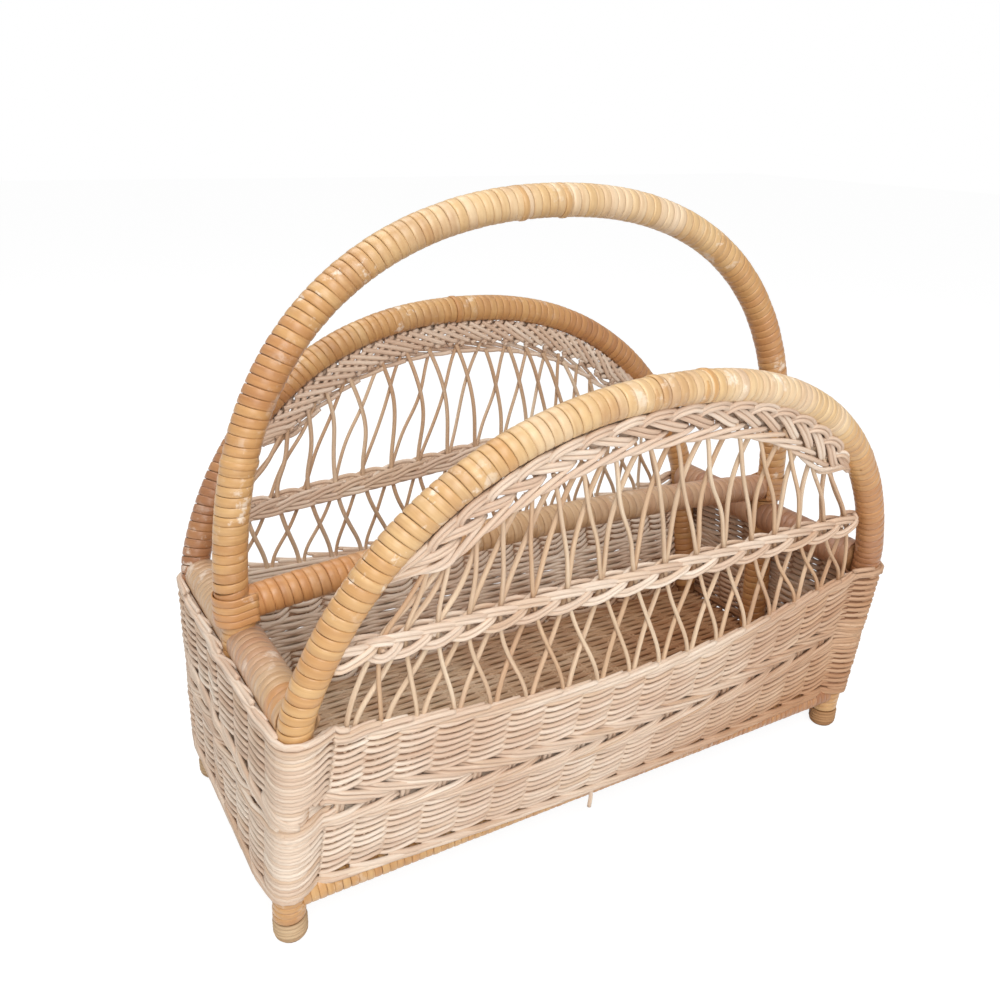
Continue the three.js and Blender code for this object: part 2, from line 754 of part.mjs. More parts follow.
// A coil whose section stands upright: rings of corners given as outward and upward amounts
function coilGeometry(points, section) {
  const count = section.length;
  const positions = points.flatMap((point) => {
    const out = new THREE.Vector3(point.x, point.y, 0).normalize();
    return section.flatMap(([across, up]) => {
      const corner = point.clone().addScaledVector(out, across);
      return [corner.x, corner.y, corner.z + up];
    });
  });
  const index = [];
  for (let ring = 0; ring < points.length - 1; ring++) {
    for (let corner = 0; corner < count; corner++) {
      const here = ring * count + corner;
      const after = ring * count + ((corner + 1) % count);
      index.push(here, after + count, after, here, here + count, after + count);
    }
  }
  const last = (points.length - 1) * count;
  for (let corner = 1; corner < count - 1; corner++) {
    index.push(0, corner, corner + 1, last, last + corner + 1, last + corner);
  }
  const geometry = new THREE.BufferGeometry();
  geometry.setAttribute("position", new THREE.Float32BufferAttribute(positions, 3));
  geometry.setIndex(index);
  geometry.computeVertexNormals();
  return geometry;
}

// Feet: reed wound round the end of each leg, drawn in towards the floor, and cane bands above it
function footCoreRadius(height) {
  const below = Math.max(0, footRoundHeight - height) / footRoundHeight;
  return footCoreFull - (footCoreFull - footFlatRadius) * below ** 2;
}

function footWinding() {
  const radiusAt = (height) => coilRadius(footCoreRadius(height), footReedRadius);
  const points = coilPoints(footTurns, footReedRadius + clearance, footHeight - footReedRadius, radiusAt);
  const gap = leastGap(points, coilSteps, 2 * footReedRadius);
  console.log("foot winding, least gap to itself:", gap.toFixed(2));
  const section = polygon(footReedRadius, footReedRadius, footReedSides).map(({ x, y }) => [x, y]);
  return coilGeometry(points, section);
}

function footLashing() {
  const bottom = footHeight + clearance + footBandHeight / 2;
  const top = bottom + footBandTurns * footBandPitch;
  const radius = coilRadius(archPoleRadius + clearance, caneThickness / 2);
  const points = coilPoints(footBandTurns, bottom, top, () => radius);
  const gap = leastGap(points, coilSteps, footBandHeight);
  console.log("foot lashing, least gap to itself:", gap.toFixed(2));
  const [across, up] = [caneThickness / 2, footBandHeight / 2];
  return coilGeometry(points, [[-across, -up], [across, -up], [across, up], [-across, up]]);
}

for (const [endName, end] of Object.entries(ends)) {
  for (const [sideName, side] of Object.entries(sides)) {
    const pieces = { winding: [footWinding(), roundReed], lashing: [footLashing(), caneSkin] };
    for (const [name, [geometry, material]] of Object.entries(pieces)) {
      geometry.translate(end * footHalfLength, side * footHalfDepth, 0);
      addPiece(`foot_${name}_${sideName}_${endName}`, geometry, material);
    }
  }
}

// Lashings that tie the centre bar to the handle legs: a strap round the leg and along the bar
function barLashing(end) {
  const inner = handleWrapRadius + clearance;
  const outer = inner + caneThickness;
  const outline = new THREE.Shape();
  outline.moveTo(-barLashReach, -outer);
  outline.absarc(0, 0, outer, -Math.PI / 2, Math.PI / 2, false);
  outline.lineTo(-barLashReach, outer);
  outline.lineTo(-barLashReach, inner);
  outline.absarc(0, 0, inner, Math.PI / 2, -Math.PI / 2, true);
  outline.lineTo(-barLashReach, -inner);
  outline.closePath();
  const shape = { depth: barLashHeight, bevelEnabled: false, curveSegments: poleSides };
  const strap = new THREE.ExtrudeGeometry(outline, shape);
  if (end < 0) strap.rotateZ(Math.PI);
  strap.translate(end * handleHalfLength, 0, barEndHeight - barLashHeight / 2);
  return cut(strap, ...handleRoom);
}
for (const [name, end] of Object.entries(ends)) {
  addPiece(`bar_lashing_${name}`, barLashing(end), caneSkin);
}

export default basket;
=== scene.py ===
import math

import bmesh
import bpy
import numpy as np
from mathutils import Matrix, Vector


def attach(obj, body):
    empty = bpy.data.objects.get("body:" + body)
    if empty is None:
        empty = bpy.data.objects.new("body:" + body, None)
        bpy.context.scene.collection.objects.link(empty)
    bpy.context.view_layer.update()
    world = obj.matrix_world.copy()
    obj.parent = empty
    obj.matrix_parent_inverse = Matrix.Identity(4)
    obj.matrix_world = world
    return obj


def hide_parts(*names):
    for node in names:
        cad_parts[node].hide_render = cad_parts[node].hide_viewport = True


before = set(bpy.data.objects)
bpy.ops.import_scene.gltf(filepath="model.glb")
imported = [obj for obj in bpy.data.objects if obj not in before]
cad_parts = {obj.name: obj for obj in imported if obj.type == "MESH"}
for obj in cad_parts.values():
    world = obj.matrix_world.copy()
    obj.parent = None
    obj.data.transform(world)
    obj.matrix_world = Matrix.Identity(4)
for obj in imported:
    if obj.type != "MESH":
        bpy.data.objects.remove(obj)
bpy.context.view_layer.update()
draw = np.random.default_rng(11)

# The hoops: rattan poles bent in steam and left round, with their bark shaved off. The legs of
# the two arches lean outwards and are the corner posts, and the handle stands between them.
mm = 0.001
stub_height = 19.4
foot_half_length = 205
foot_half_depth = 78
pole_lean = 0.14
rim_toe_in = 5
arch_bottom, arch_spring, arch_top, arch_reach = 0.6, 146, 289.5, 200
handle_bottom, handle_tuck = 40.9, 0.8
handle_spring, handle_top, handle_reach = 166, 371, 202
# Where each bend starts, and how full it is upwards and outwards
arch_bend, handle_bend = (0.446, 2.61, 2.22), (0.2, 3.16, 2.18)
arch_core, handle_core = 7.6, 8.1
arch_wrap, handle_wrap = 9.0, 9.5
leg_sides = 20
sides = {"front": -1, "back": 1}
ends = {"left": -1, "right": 1}


def half_depth(height):
    return foot_half_depth + pole_lean * np.maximum(0, height - stub_height)


def half_length(height):
    share = np.maximum(0, height - stub_height) / (arch_spring - stub_height)
    return foot_half_length - rim_toe_in * share


def run_along(line):
    """The distance of each point of a line from its start"""
    return np.concatenate([[0], np.cumsum(np.linalg.norm(np.diff(line, axis=0), axis=1))])


def read_at(values, run, at):
    """Rows read off a table at places between its own"""
    return np.stack([np.interp(at, run, column) for column in values.T], axis=1)


def unit(vectors):
    return vectors / np.linalg.norm(vectors, axis=-1, keepdims=True)


def square_to(vectors, along):
    vectors = np.asarray(vectors, float)
    return unit(vectors - np.sum(vectors * along, axis=-1, keepdims=True) * along)


def spaced(line, spacing):
    """The same line with its points set evenly along it"""
    run = run_along(line)
    return read_at(line, run, np.linspace(0, run[-1], max(2, round(run[-1] / spacing)) + 1))


def eased(line, reach):
    """The same line with its corners rounded over some of its points"""
    before = 2 * line[0] - line[reach:0:-1]
    after = 2 * line[-1] - line[-2:-reach - 2:-1]
    padded = np.concatenate([before, line, after])
    weight = np.hanning(2 * reach + 3)[1:-1]
    weight /= weight.sum()
    return np.stack([np.convolve(column, weight, "valid") for column in padded.T], axis=1)


def curve_through(knots, spacing):
    """A smooth line through a few places"""
    knots = np.asarray(knots, float)
    ends = np.concatenate([[2 * knots[0] - knots[1]], knots, [2 * knots[-1] - knots[-2]]])
    pieces = []
    for place in range(len(knots) - 1):
        a, b, c, d = ends[place:place + 4]
        t = np.linspace(0, 1, 12, endpoint=False)[:, None]
        bend = 2 * a - 5 * b + 4 * c - d
        turn = 3 * b - a - 3 * c + d
        pieces.append(0.5 * (2 * b + (c - a) * t + bend * t ** 2 + turn * t ** 3))
    return spaced(np.concatenate(pieces + [knots[-1:]]), spacing)


def hoop_line(side, bottom, inset, spring, top, reach, bend):
    """A hoop up one leg and down the other. The side is 0 for the upright handle"""
    start, rise_power, span_power = bend
    leg = np.arange(bottom, spring, 4.0)
    rise = np.sin(np.linspace(0, math.pi / 2, 90))
    share = start + (1 - start) * rise
    span = np.maximum(0, (1 - share ** rise_power) / (1 - start ** rise_power)) ** (1 / span_power)
    x = np.concatenate([half_length(leg) - inset, reach * span])
    z = np.concatenate([leg, spring + (top - spring) * rise])
    y = side * half_depth(z)
    left = np.stack([-x, y, z], axis=1)
    right = np.stack([x, y, z], axis=1)[::-1]
    return eased(spaced(np.concatenate([left, right[1:]]), 1.0), 14)


arch_lines = {name: hoop_line(side, arch_bottom, 0, arch_spring, arch_top, arch_reach, arch_bend)
              for name, side in sides.items()}
handle_line = hoop_line(0, handle_bottom, handle_tuck, handle_spring, handle_top, handle_reach,
                        handle_bend)

# Every reed, cane and pole starts as a straight rod, kept for each count of sides and rings
straight_rods = {}


def straight_rod(corners, rings):
    if (corners, rings) not in straight_rods:
        shape = bmesh.new()
        bmesh.ops.create_cone(shape, cap_ends=True, segments=corners, radius1=1, radius2=1,
                              depth=rings - 1)
        rises = [edge for edge in shape.edges
                 if abs(edge.verts[0].co.z - edge.verts[1].co.z) > 0.5]
        if rings > 2:
            bmesh.ops.subdivide_edges(shape, edges=rises, cuts=rings - 2)
        bmesh.ops.recalc_face_normals(shape, faces=shape.faces)
        rod = bpy.data.meshes.new("straight_rod")
        shape.to_mesh(rod)
        shape.free()
        co = np.zeros(3 * len(rod.vertices))
        rod.vertices.foreach_get("co", co)
        co = co.reshape(-1, 3)
        ring = np.rint(co[:, 2] + (rings - 1) / 2).astype(int)
        corner = np.rint(np.arctan2(co[:, 0], co[:, 1]) / (2 * math.pi) * corners).astype(int)
        straight_rods[corners, rings] = (rod, ring, corner % corners)
    return straight_rods[corners, rings]


def round_section(corners):
    turns = np.arange(corners) / corners * 2 * math.pi
    return np.stack([np.sin(turns), np.cos(turns)], axis=1)


# Each rod's fibres are cut from another part of the same pattern, set by its tint
fibre_jump, fibre_shift = 700, 40


def bent_rod(line, out, wide, thick, section, tone):
    """A rod bent along a line: out is its outer side, wide lies across that and thick along it.
    The section is a count of corners, or their places."""
    line = np.asarray(line, float)
    if isinstance(section, int):
        section = round_section(section)
    along = unit(np.gradient(line, axis=0))
    out = square_to(out, along)
    across = np.cross(out, along)
    wide, thick, tone = (np.broadcast_to(np.asarray(size, float), (len(line),))
                         for size in (wide, thick, tone))
    right = wide[:, None] * section[None, :, 0]
    up = thick[:, None] * section[None, :, 1]
    places = line[:, None] + across[:, None] * right[..., None] + out[:, None] * up[..., None]
    run = np.broadcast_to(run_along(line)[:, None] + fibre_jump * tone[0], right.shape)
    grain = np.stack([run, right + fibre_shift * tone[0], up], axis=2)
    return places, grain, np.broadcast_to(tone[:, None], right.shape)


def into_scene(name, data):
    thing = bpy.data.objects.new(name, data)
    bpy.context.scene.collection.objects.link(thing)
    return thing


def made_of(name, rods, finish, slot, *nodes):
    """One piece made of bent rods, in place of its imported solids"""
    shape = bmesh.new()
    parts = []
    for rod_values in rods:
        rings, corners = rod_values[0].shape[:2]
        rod, ring, corner = straight_rod(corners, rings)
        shape.from_mesh(rod)
        parts.append([values[ring, corner] for values in rod_values])
    places, grains, tones = (np.concatenate(part) for part in zip(*parts))
    mesh = bpy.data.meshes.new(name)
    shape.to_mesh(mesh)
    shape.free()
    mesh.vertices.foreach_set("co", (places * mm).ravel())
    fibre = mesh.attributes.new("fibre", "FLOAT_VECTOR", "POINT")
    fibre.data.foreach_set("vector", (grains * mm).ravel())
    shade = mesh.attributes.new("tone", "FLOAT", "POINT")
    shade.data.foreach_set("value", tones)
    mesh.shade_smooth()
    mesh.materials.append(finish)
    piece = into_scene(name, mesh)
    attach(piece, "root")
    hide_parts(*nodes)


def linear(colour):
    """A colour written as the eye sees it, as the shader counts it"""
    parts = [int(colour[place:place + 2], 16) / 255 for place in (0, 2, 4)]
    return [part / 12.92 if part < 0.04045 else ((part + 0.055) / 1.055) ** 2.4
            for part in parts] + [1]


class Mix:
    """The nodes of a material or of the world, while they are joined up"""

    def __init__(self, owner):
        owner.use_nodes = True
        self.owner = owner
        self.nodes = owner.node_tree.nodes
        self.links = owner.node_tree.links

    def fill(self, node, inputs):
        """Gives a node's inputs their numbers and colours, or joins them to other nodes"""
        for key, value in inputs.items():
            if isinstance(value, bpy.types.NodeSocket):
                self.links.new(value, node.inputs[key])
            else:
                node.inputs[key].default_value = value

    def add(self, kind, inputs, output, **settings):
        node = self.nodes.new("ShaderNode" + kind)
        for key, value in settings.items():
            setattr(node, key, value)
        self.fill(node, inputs)
        return node.outputs[output]

    def attribute(self, name, output):
        return self.add("Attribute", {}, output, attribute_name=name)

    def place(self):
        return self.add("TexCoord", {}, "Object")

    def noise(self, vector, scale, detail=3.0, roughness=0.55):
        return self.add("TexNoise", {"Vector": vector, "Scale": scale, "Detail": detail,
                                     "Roughness": roughness}, "Fac")

    def drawn_out(self, along, across, detail):
        """Noise drawn out along the reed"""
        grain = self.add("Mapping", {"Vector": self.attribute("fibre", "Vector"),
                                     "Scale": (along, across, across)}, "Vector")
        return self.noise(grain, 1.0, detail)

    def ramp(self, value, places, colours):
        shades = self.add("ValToRGB", {"Fac": value}, "Color")
        steps = shades.node.color_ramp.elements
        while len(steps) < len(places):
            steps.new(0.5)
        for step, place, colour in zip(steps, places, colours):
            step.position = place
            step.color = linear(colour)
        return shades

    def span(self, value, low, high, to_low=0.0, to_high=1.0):
        return self.add("MapRange", {"Value": value, "From Min": low, "From Max": high,
                                     "To Min": to_low, "To Max": to_high}, "Result")

    def blend(self, share, first, second, way="MIX"):
        return self.add("Mix", {0: share, 6: first, 7: second}, 2, data_type="RGBA",
                        blend_type=way)

    def reckon(self, way, first, second):
        return self.add("Math", {0: first, 1: second}, 0, operation=way)

    def times(self, first, second):
        return self.reckon("MULTIPLY", first, second)

    def plus(self, first, second):
        return self.reckon("ADD", first, second)

    def tan_and_painted_shade(self):
        """How far the reed is darkened and browned: painted shade where the light falls off
        towards the low right end, with a browner tint there, and less inside the box
        """
        parts = self.add("SeparateXYZ", {"Vector": self.place()}, "X").node.outputs
        lean = self.reckon("SUBTRACT", self.times(parts["X"], 3.2), self.times(parts["Z"], 2.5))
        lean = self.plus(lean, self.times(self.noise(self.place(), 13.0), 0.2))
        inside = self.times(self.span(parts["Y"], -0.1, -0.05), self.span(parts["Z"], 0.035, 0.09))
        kept = self.reckon("SUBTRACT", 1.0, self.times(inside, 0.85))
        return self.times(self.span(lean, -0.1, 0.5, 0, 0.85), kept)

    def finish(self, inputs, fibres, streaks, streak_share, strength, depth):
        """Fills the shader's inputs, with fibres and streaks raised a little"""
        relief = self.plus(fibres, self.times(streaks, streak_share))
        inputs["Normal"] = self.add("Bump", {"Height": relief, "Strength": strength,
                                             "Distance": depth}, "Normal")
        self.fill(self.nodes["Principled BSDF"], inputs)
        return self.owner


# Tints below the second stop are kept for the reeds inside the walls; the first, a dark brown, is
# painted shade for the reeds seen only through the gaps between rounds
shown_from = 0.12


def reed_finish(name, tints, warm, dirt, roughness):
    """Peeled round reed: dull, with fine fibres along it and each length its own tint"""
    mix = Mix(bpy.data.materials.new(name))
    fibres = mix.drawn_out(35, 900, 3.0)
    streaks = mix.drawn_out(14, 260, 2.0)
    body = mix.ramp(mix.attribute("tone", "Fac"), (0.0, shown_from, 0.4, 0.7, 0.95), tints)
    patches = mix.noise(mix.place(), 16.0)
    body = mix.blend(mix.span(patches, 0.42, 0.68, 0, 0.6), body, linear(warm))
    body = mix.blend(mix.span(streaks, 0.35, 0.75, 0, 0.45), body, linear(dirt), "MULTIPLY")
    body = mix.blend(mix.span(fibres, 0.3, 0.7, 0, 0.3), body, linear(dirt), "MULTIPLY")
    # Painted shade: the reed is darkened and browned towards the low right end, where the light
    # falls off, but less inside the box
    body = mix.blend(mix.tan_and_painted_shade(), body, linear("dcbc9c"), "MULTIPLY")
    dull = mix.span(streaks, 0.2, 0.8, roughness, roughness + 0.16)
    return mix.finish({"Base Color": body, "Roughness": dull, "Specular IOR Level": 0.35},
                      fibres, streaks, 0.6, 0.35, 0.0004)


def cane_finish(name, tints, scuff, roughness):
    """Cane cut from the glossy bark: honey to rose by the turn, with scuffs and dark flecks"""
    mix = Mix(bpy.data.materials.new(name))
    fibres = mix.drawn_out(22, 1300, 3.0)
    streaks = mix.drawn_out(30, 420, 2.0)
    body = mix.ramp(mix.attribute("tone", "Fac"), (0.0, 0.25, 0.5, 0.75, 1.0), tints)
    blotches = mix.noise(mix.place(), 30.0, 4.0)
    body = mix.blend(mix.span(blotches, 0.52, 0.74, 0, 0.5), body, linear(tints[0]))
    body = mix.blend(mix.span(streaks, 0.35, 0.75, 0, 0.4), body, linear("bf9b78"), "MULTIPLY")
    worn = mix.noise(mix.place(), 95.0, 5.0, 0.65)
    where = mix.noise(mix.place(), 11.0, 2.0)
    scuffs = mix.times(mix.span(worn, 0.57, 0.66), mix.span(where, 0.5, 0.62))
    body = mix.blend(mix.times(scuffs, 0.7), body, linear(scuff))
    dull = mix.plus(mix.times(scuffs, 0.3),
                    mix.span(streaks, 0.2, 0.8, roughness, roughness + 0.14))
    return mix.finish({"Base Color": body, "Roughness": dull, "Coat Weight": 0.2,
                       "Coat Roughness": 0.3}, fibres, streaks, 0.5, 0.25, 0.0003)


bare_rattan = reed_finish("bare_rattan", ("a07a52", "a9835a", "b58e63", "c39b70", "cda77c"),
                          "9c7248", "8f6d4c", 0.5)


def pole(name, line, radius, node):
    tone = draw.uniform(0.2, 0.8)
    rod = bent_rod(spaced(line, 5), (0.3, -1, 0.2), radius, radius, leg_sides, tone)
    made_of(name, [rod], bare_rattan, "bare_rattan", node)


for name in sides:
    pole(f"{name}_arch_core", arch_lines[name], arch_core, f"{name}_arch_pole")
pole("handle_core", handle_line, handle_core, "handle_pole")

# The cane round the hoops: flat strips of glossy bark, each turn tight against the one before.
# On the arches' legs it runs on down inside the woven box. A few ends are tucked over the turns.
cane_width, cane_thick = 5.3, 1.15
steps_a_turn = 22
tuck_reach, tuck_slant, tuck_half, tuck_rise = 0.62, 5.5, 1.9, 0.55
cane_section = np.array([(0, 1), (0.7, 0.94), (0.96, 0.68), (1, 0.0), (0, 0.0), (-1, 0.0),
                         (-0.96, 0.68), (-0.7, 0.94)])
flat_section = np.array([(0, 1), (0.86, 0.98), (0.99, 0.8), (1, 0.0), (0, 0.0), (-1, 0.0),
                         (-0.99, 0.8), (-0.86, 0.98)])
cane_honey = cane_finish("cane_honey", ("ab7852", "c48f5b", "cfa26a", "dab988", "ecd8be"),
                         "f4e8d8", 0.34)
cane_rose = cane_finish("cane_rose", ("ae8063", "c39a7a", "c9aa88", "cba77e", "cc935c"),
                        "e6d4c2", 0.36)


def turn_tones(turns, knots):
    """A tint for each turn that follows a few values along the pole and jumps between turns"""
    wander = np.interp(np.linspace(0, len(knots) - 1, turns + 2), np.arange(len(knots)), knots)
    odd = (draw.uniform(0, 1, turns + 2) < 0.06) * draw.uniform(-0.2, 0.1, turns + 2)
    return np.clip(wander + draw.uniform(-0.09, 0.09, turns + 2) + odd, 0, 1)


def way_out(across, along, turn):
    """The way out of a pole's middle after each share of a turn, counted from one side of it"""
    first = square_to(across, along)
    angle = (2 * math.pi * turn)[:, None]
    return first * np.cos(angle) + np.cross(along, first) * np.sin(angle)


def cane_turns(line, across, radius, width, tones, slack=0.12, section=cane_section):
    """One strip wound round a pole from end to end of a line, its turns side by side"""
    line = spaced(line, 0.5)
    run = run_along(line)
    turns = max(2, round(run[-1] / width))
    widths = draw.uniform(0.92, 1.08, turns)
    edges = np.concatenate([[0], np.cumsum(widths)]) / widths.sum() * run[-1]
    turn = np.arange(turns * steps_a_turn + 1) / steps_a_turn
    centre = read_at(line, run, np.interp(turn, np.arange(turns + 1), edges))
    out = way_out(across, unit(np.gradient(centre, axis=0)), turn)
    loose = draw.uniform(-slack, slack, 2 * turns + 2)
    lift = radius - cane_thick + np.interp(turn, np.arange(2 * turns + 2) / 2, loose)
    own = np.interp(turn, np.arange(turns + 1), np.concatenate([widths[:1], widths]))
    half = own * run[-1] / widths.sum() * 0.5
    shade = turn_tones(turns, tones)[np.floor(turn).astype(int)]
    return bent_rod(centre + out * lift[:, None], out, half, cane_thick, section, shade)


def tucked_end(line, at, across, radius, flush, tone):
    """The end of a strip laid slantwise over the turns; it stays flush on one side of the pole"""
    turn = np.linspace(-tuck_reach, tuck_reach, 46)
    centre = read_at(line, run_along(line), at + tuck_slant * turn)
    out = way_out(across, unit(centre[-1] - centre[0]), turn)
    raised = tuck_rise * np.clip(1 - 1.7 * np.maximum(0, out @ np.asarray(flush, float)), 0, 1)
    path = centre + out * (radius - cane_thick + 0.05 + raised)[:, None]
    width = tuck_half * np.interp(np.abs(turn), (0, 0.5, tuck_reach), (1, 1, 0.5))
    return bent_rod(path, out, width, cane_thick, cane_section, tone)


def cut_line(line, low, high):
    """A line without its first and its last stretch"""
    run = run_along(line)
    high = run[-1] - high
    return read_at(line, run, np.linspace(low, high, max(2, round(high - low)) + 1))


def bound_pole(name, line, radius, bare, finish, slot, *winding):
    """A pole with cane wound round it, but for a little at each end"""
    pole(f"{name}_core", line, radius, f"{name}_pole")
    cane = cane_turns(cut_line(line, bare, bare) if bare else line, *winding)
    made_of(f"{name}_cane", [cane], finish, slot, f"{name}_binding")


panel_across = {name: np.array([0, 1, -side * pole_lean]) for name, side in sides.items()}
arch_tucks = {"front": ((398, 0.62), (430, 0.5), (590, 0.35)), "back": ((410, 0.3),)}
arch_tones = {"front": (0.5, 0.5, 0.48, 0.55, 0.62, 0.75, 0.72, 0.8, 0.78, 0.92, 0.85, 0.78, 0.55,
                        0.2, 0.05, 0.0),
              "back": (0.0, 0.02, 0.15, 0.35, 0.55, 0.5, 0.5, 0.4, 0.25, 0.2, 0.25, 0.3, 0.3)}
# The cane inside the box starts above the floor and meets the cane outside it
arch_length, leg_cane_from = 829, 44
for name, side in sides.items():
    line = arch_lines[name]
    across = panel_across[name]
    leg_end = 134 + 6 * draw.uniform(0, 1)
    cane = [cane_turns(cut_line(line, leg_end, leg_end), across, arch_wrap - 0.15, cane_width,
                       arch_tones[name], slack=0.08)]
    tucks = [tucked_end(line, at, -across * side, arch_wrap - 0.15, across * side, tone)
             for at, tone in arch_tucks[name]]
    for leg in (line, line[::-1]):
        leg = cut_line(leg, leg_cane_from, arch_length - leg_end)
        cane.append(cane_turns(leg, across, arch_wrap - 0.2, cane_width, (0.25, 0.35)))
    made_of(f"{name}_arch_cane", cane + tucks, cane_honey, "cane_honey",
            f"{name}_arch_binding")
handle_tones = (0.4, 0.4, 0.4, 0.42, 0.5, 0.48, 0.2, 0.48, 0.66, 0.74, 0.78, 0.8, 0.84, 0.84, 0.66,
                0.42, 0.3, 0.4, 0.4, 0.35, 0.3, 0.3, 0.25)
tucks = [tucked_end(handle_line, at, (0, -1, -0.6), handle_wrap, (0, 0, 1), tone)
         for at, tone in ((205, 0.45), (428, 0.6), (456, 0.62))]
handle_bare = 3
cane = cane_turns(cut_line(handle_line, handle_bare, handle_bare), (0, 1, 0), handle_wrap,
                  cane_width, handle_tones)
made_of("handle_cane", [cane] + tucks, cane_honey, "cane_honey", "handle_binding")

# The end rails: thick poles bound with rose-brown cane, in two lengths at each end of the box,
# from the corner posts to the handle's legs.
rail_height, rail_place, rail_core, rail_wrap, rail_ends = 141, 197, 9.9, 11.3, (5, 88)
rail_tones = {"left_rail_front": (0.25, 0.3, 0.5, 0.85, 0.8), "left_rail_back": (0.5, 0.55, 0.5),
              "right_rail_front": (0.1, 0.0, 0.1), "right_rail_back": (0.2, 0.05, 0.3)}
for end_name, end in ends.items():
    for side_name, side in sides.items():
        name = f"{end_name}_rail_{side_name}"
        line = np.array([(end * rail_place, side * y, rail_height) for y in rail_ends], float)
        bound_pole(name, spaced(line, 2), rail_core, 0, cane_rose, "cane_rose", (1, 0, 0),
                   rail_wrap, 5.4, rail_tones[name], 0.03, flat_section)

# The centre bar: a pole between the handle's legs that divides the basket in two, bound with
# rose-brown cane and crowned a little. Its ends butt against the legs.
bar_height, bar_crown, bar_half_length = 163, 10, 192
bar_share = np.linspace(-1, 1, 60)
bar_line = np.stack([bar_half_length * bar_share, 0 * bar_share,
                     bar_height + bar_crown * (1 - bar_share ** 2)], axis=1)
bar_tones = (1, 1, 0.95, 0.9, 0.75, 0.7, 0.6, 0.55, 0.35, 0.3, 0.2, 0.25)
bound_pole("centre_bar", bar_line, handle_core, 0, cane_rose, "cane_rose", (0, 1, 0),
           handle_wrap, 5.6, bar_tones, 0.08)

# The base rails: slimmer poles between the legs, just above the feet, two along the sides and
# two across the ends. They are bound with narrow cane and carry the woven box.
base_height, base_core, base_wrap, base_width = 28, 6.6, 8.0, 4.5
base_corner = np.array([half_length(base_height), half_depth(base_height), base_height])
long_tones, short_tones = (0.45, 0.5, 0.4, 0.3, 0.15, 0.0), (0.4, 0.3)
for name, first, last, bare, across, tones in (
        ("front", (-1, -1, 1), (1, -1, 1), 5, (0, 1, 0), long_tones),
        ("back", (-1, 1, 1), (1, 1, 1), 5, (0, 1, 0), long_tones),
        ("left", (-1, -1, 1), (-1, 1, 1), 8, (1, 0, 0), short_tones),
        ("right", (1, -1, 1), (1, 1, 1), 8, (1, 0, 0), short_tones)):
    bound_pole(f"{name}_base_rail", base_corner * (first, last), base_core, bare, cane_honey,
               "cane_honey", across, base_wrap, base_width, tones)

# The floor bars: two slim bare poles of rattan under the woven floor. They cross the basket and
# are let into the long base rails.
bar_place, bar_reach, bar_level, bar_radius = 75, 70, 31, 5
for name, end in ends.items():
    line = np.array([(end * bar_place, y, bar_level) for y in (-bar_reach, bar_reach)], float)
    pole(f"floor_bar_{name}_core", line, bar_radius, f"floor_bar_{name}")

# The woven box. Its wall follows the corner posts and the handle's legs, and between the posts
# the long sides bow outwards and hang lower. A place on it is counted in stakes along the round.
side_bays, end_bays = 17, 6
half_round = side_bays + end_bays + 2
full_round = 2 * half_round
side_marks = np.array([-185, -168.8, -151.2, -131, -109.6, -89.2, -67.3, -43.4, -21.5, 0.5, 22,
                       44.2, 69.4, 92.6, 116, 141, 163.6, 185.6])
marks_height, marks_spread = 95, 0.0005
end_reach = 0.86
end_marks = np.linspace(-end_reach, end_reach, end_bays + 1)
rim_bulge, rim_sag, bow_power = 15, 12.5, 1.4
bow_heights, bow_bulge, bow_sag = (31, 50, 140), (4.5, 9, rim_bulge), (1.2, 4.5, rim_sag)
side_out, end_out, leg_bump, bump_reach = 0.5, 9.6, 1.6, 9
widest, probe = 216.9, 0.04
corner_turn = curve_through([(-17.7, -0.5, 0), (-12.6, -3.6, 0), (-6.8, -7.4, 0), (0, -9.1, 0),
                             (4.7, -7.8, 0), (7.8, -4.7, 0), (9.3, 0, 0), (9.6, 6, 0),
                             (9.6, 12, 0)], 0.5)


def bow_share(x):
    return np.maximum(0, 1 - (x / arch_reach) ** 2) ** bow_power


def wall_plan(course, height):
    """Middle of the wall in plan, and how far it bows, at places of the round"""
    course = np.mod(course, full_round)
    turned = course >= half_round
    place = np.where(turned, course - half_round, course)
    length, depth = half_length(height), half_depth(height)
    spread = 1 + marks_spread * (marks_height - height)
    side_x = np.interp(place, np.arange(side_bays + 1), side_marks) * spread
    bow = bow_share(side_x) * (place <= side_bays)
    side_y = -(depth + side_out + np.interp(height, bow_heights, bow_bulge) * bow)
    end_y = np.interp(place - side_bays - 1, np.arange(end_bays + 1), end_marks) * depth
    bump = leg_bump * np.interp(height, (36, 62), (0.2, 1))
    end_x = length + end_out + bump * np.exp(-(end_y / bump_reach) ** 2)
    at_corner = np.where(place > half_round - 1, half_round - place, place - side_bays)
    at_corner = np.clip(at_corner, 0, 1)
    last_step = len(corner_turn) - 1
    corner_x, corner_y, _ = read_at(corner_turn, np.arange(last_step + 1), at_corner * last_step).T
    start = side_marks[-1] * spread - length - corner_turn[0, 0]
    corner_x = length + corner_x + start * (1 - at_corner) ** 3
    finish = (1 - end_reach) * depth - corner_turn[-1, 1]
    corner_y = -depth + corner_y + finish * at_corner ** 3
    first = (place > side_bays) & (place < side_bays + 1)
    last = place > half_round - 1
    x = np.select([place <= side_bays, first, last], [side_x, corner_x, corner_x], end_x)
    y = np.select([place <= side_bays, first, last], [side_y, corner_y, -corner_y], end_y)
    sign = np.where(turned, -1.0, 1.0)
    return x * sign, y * sign, bow


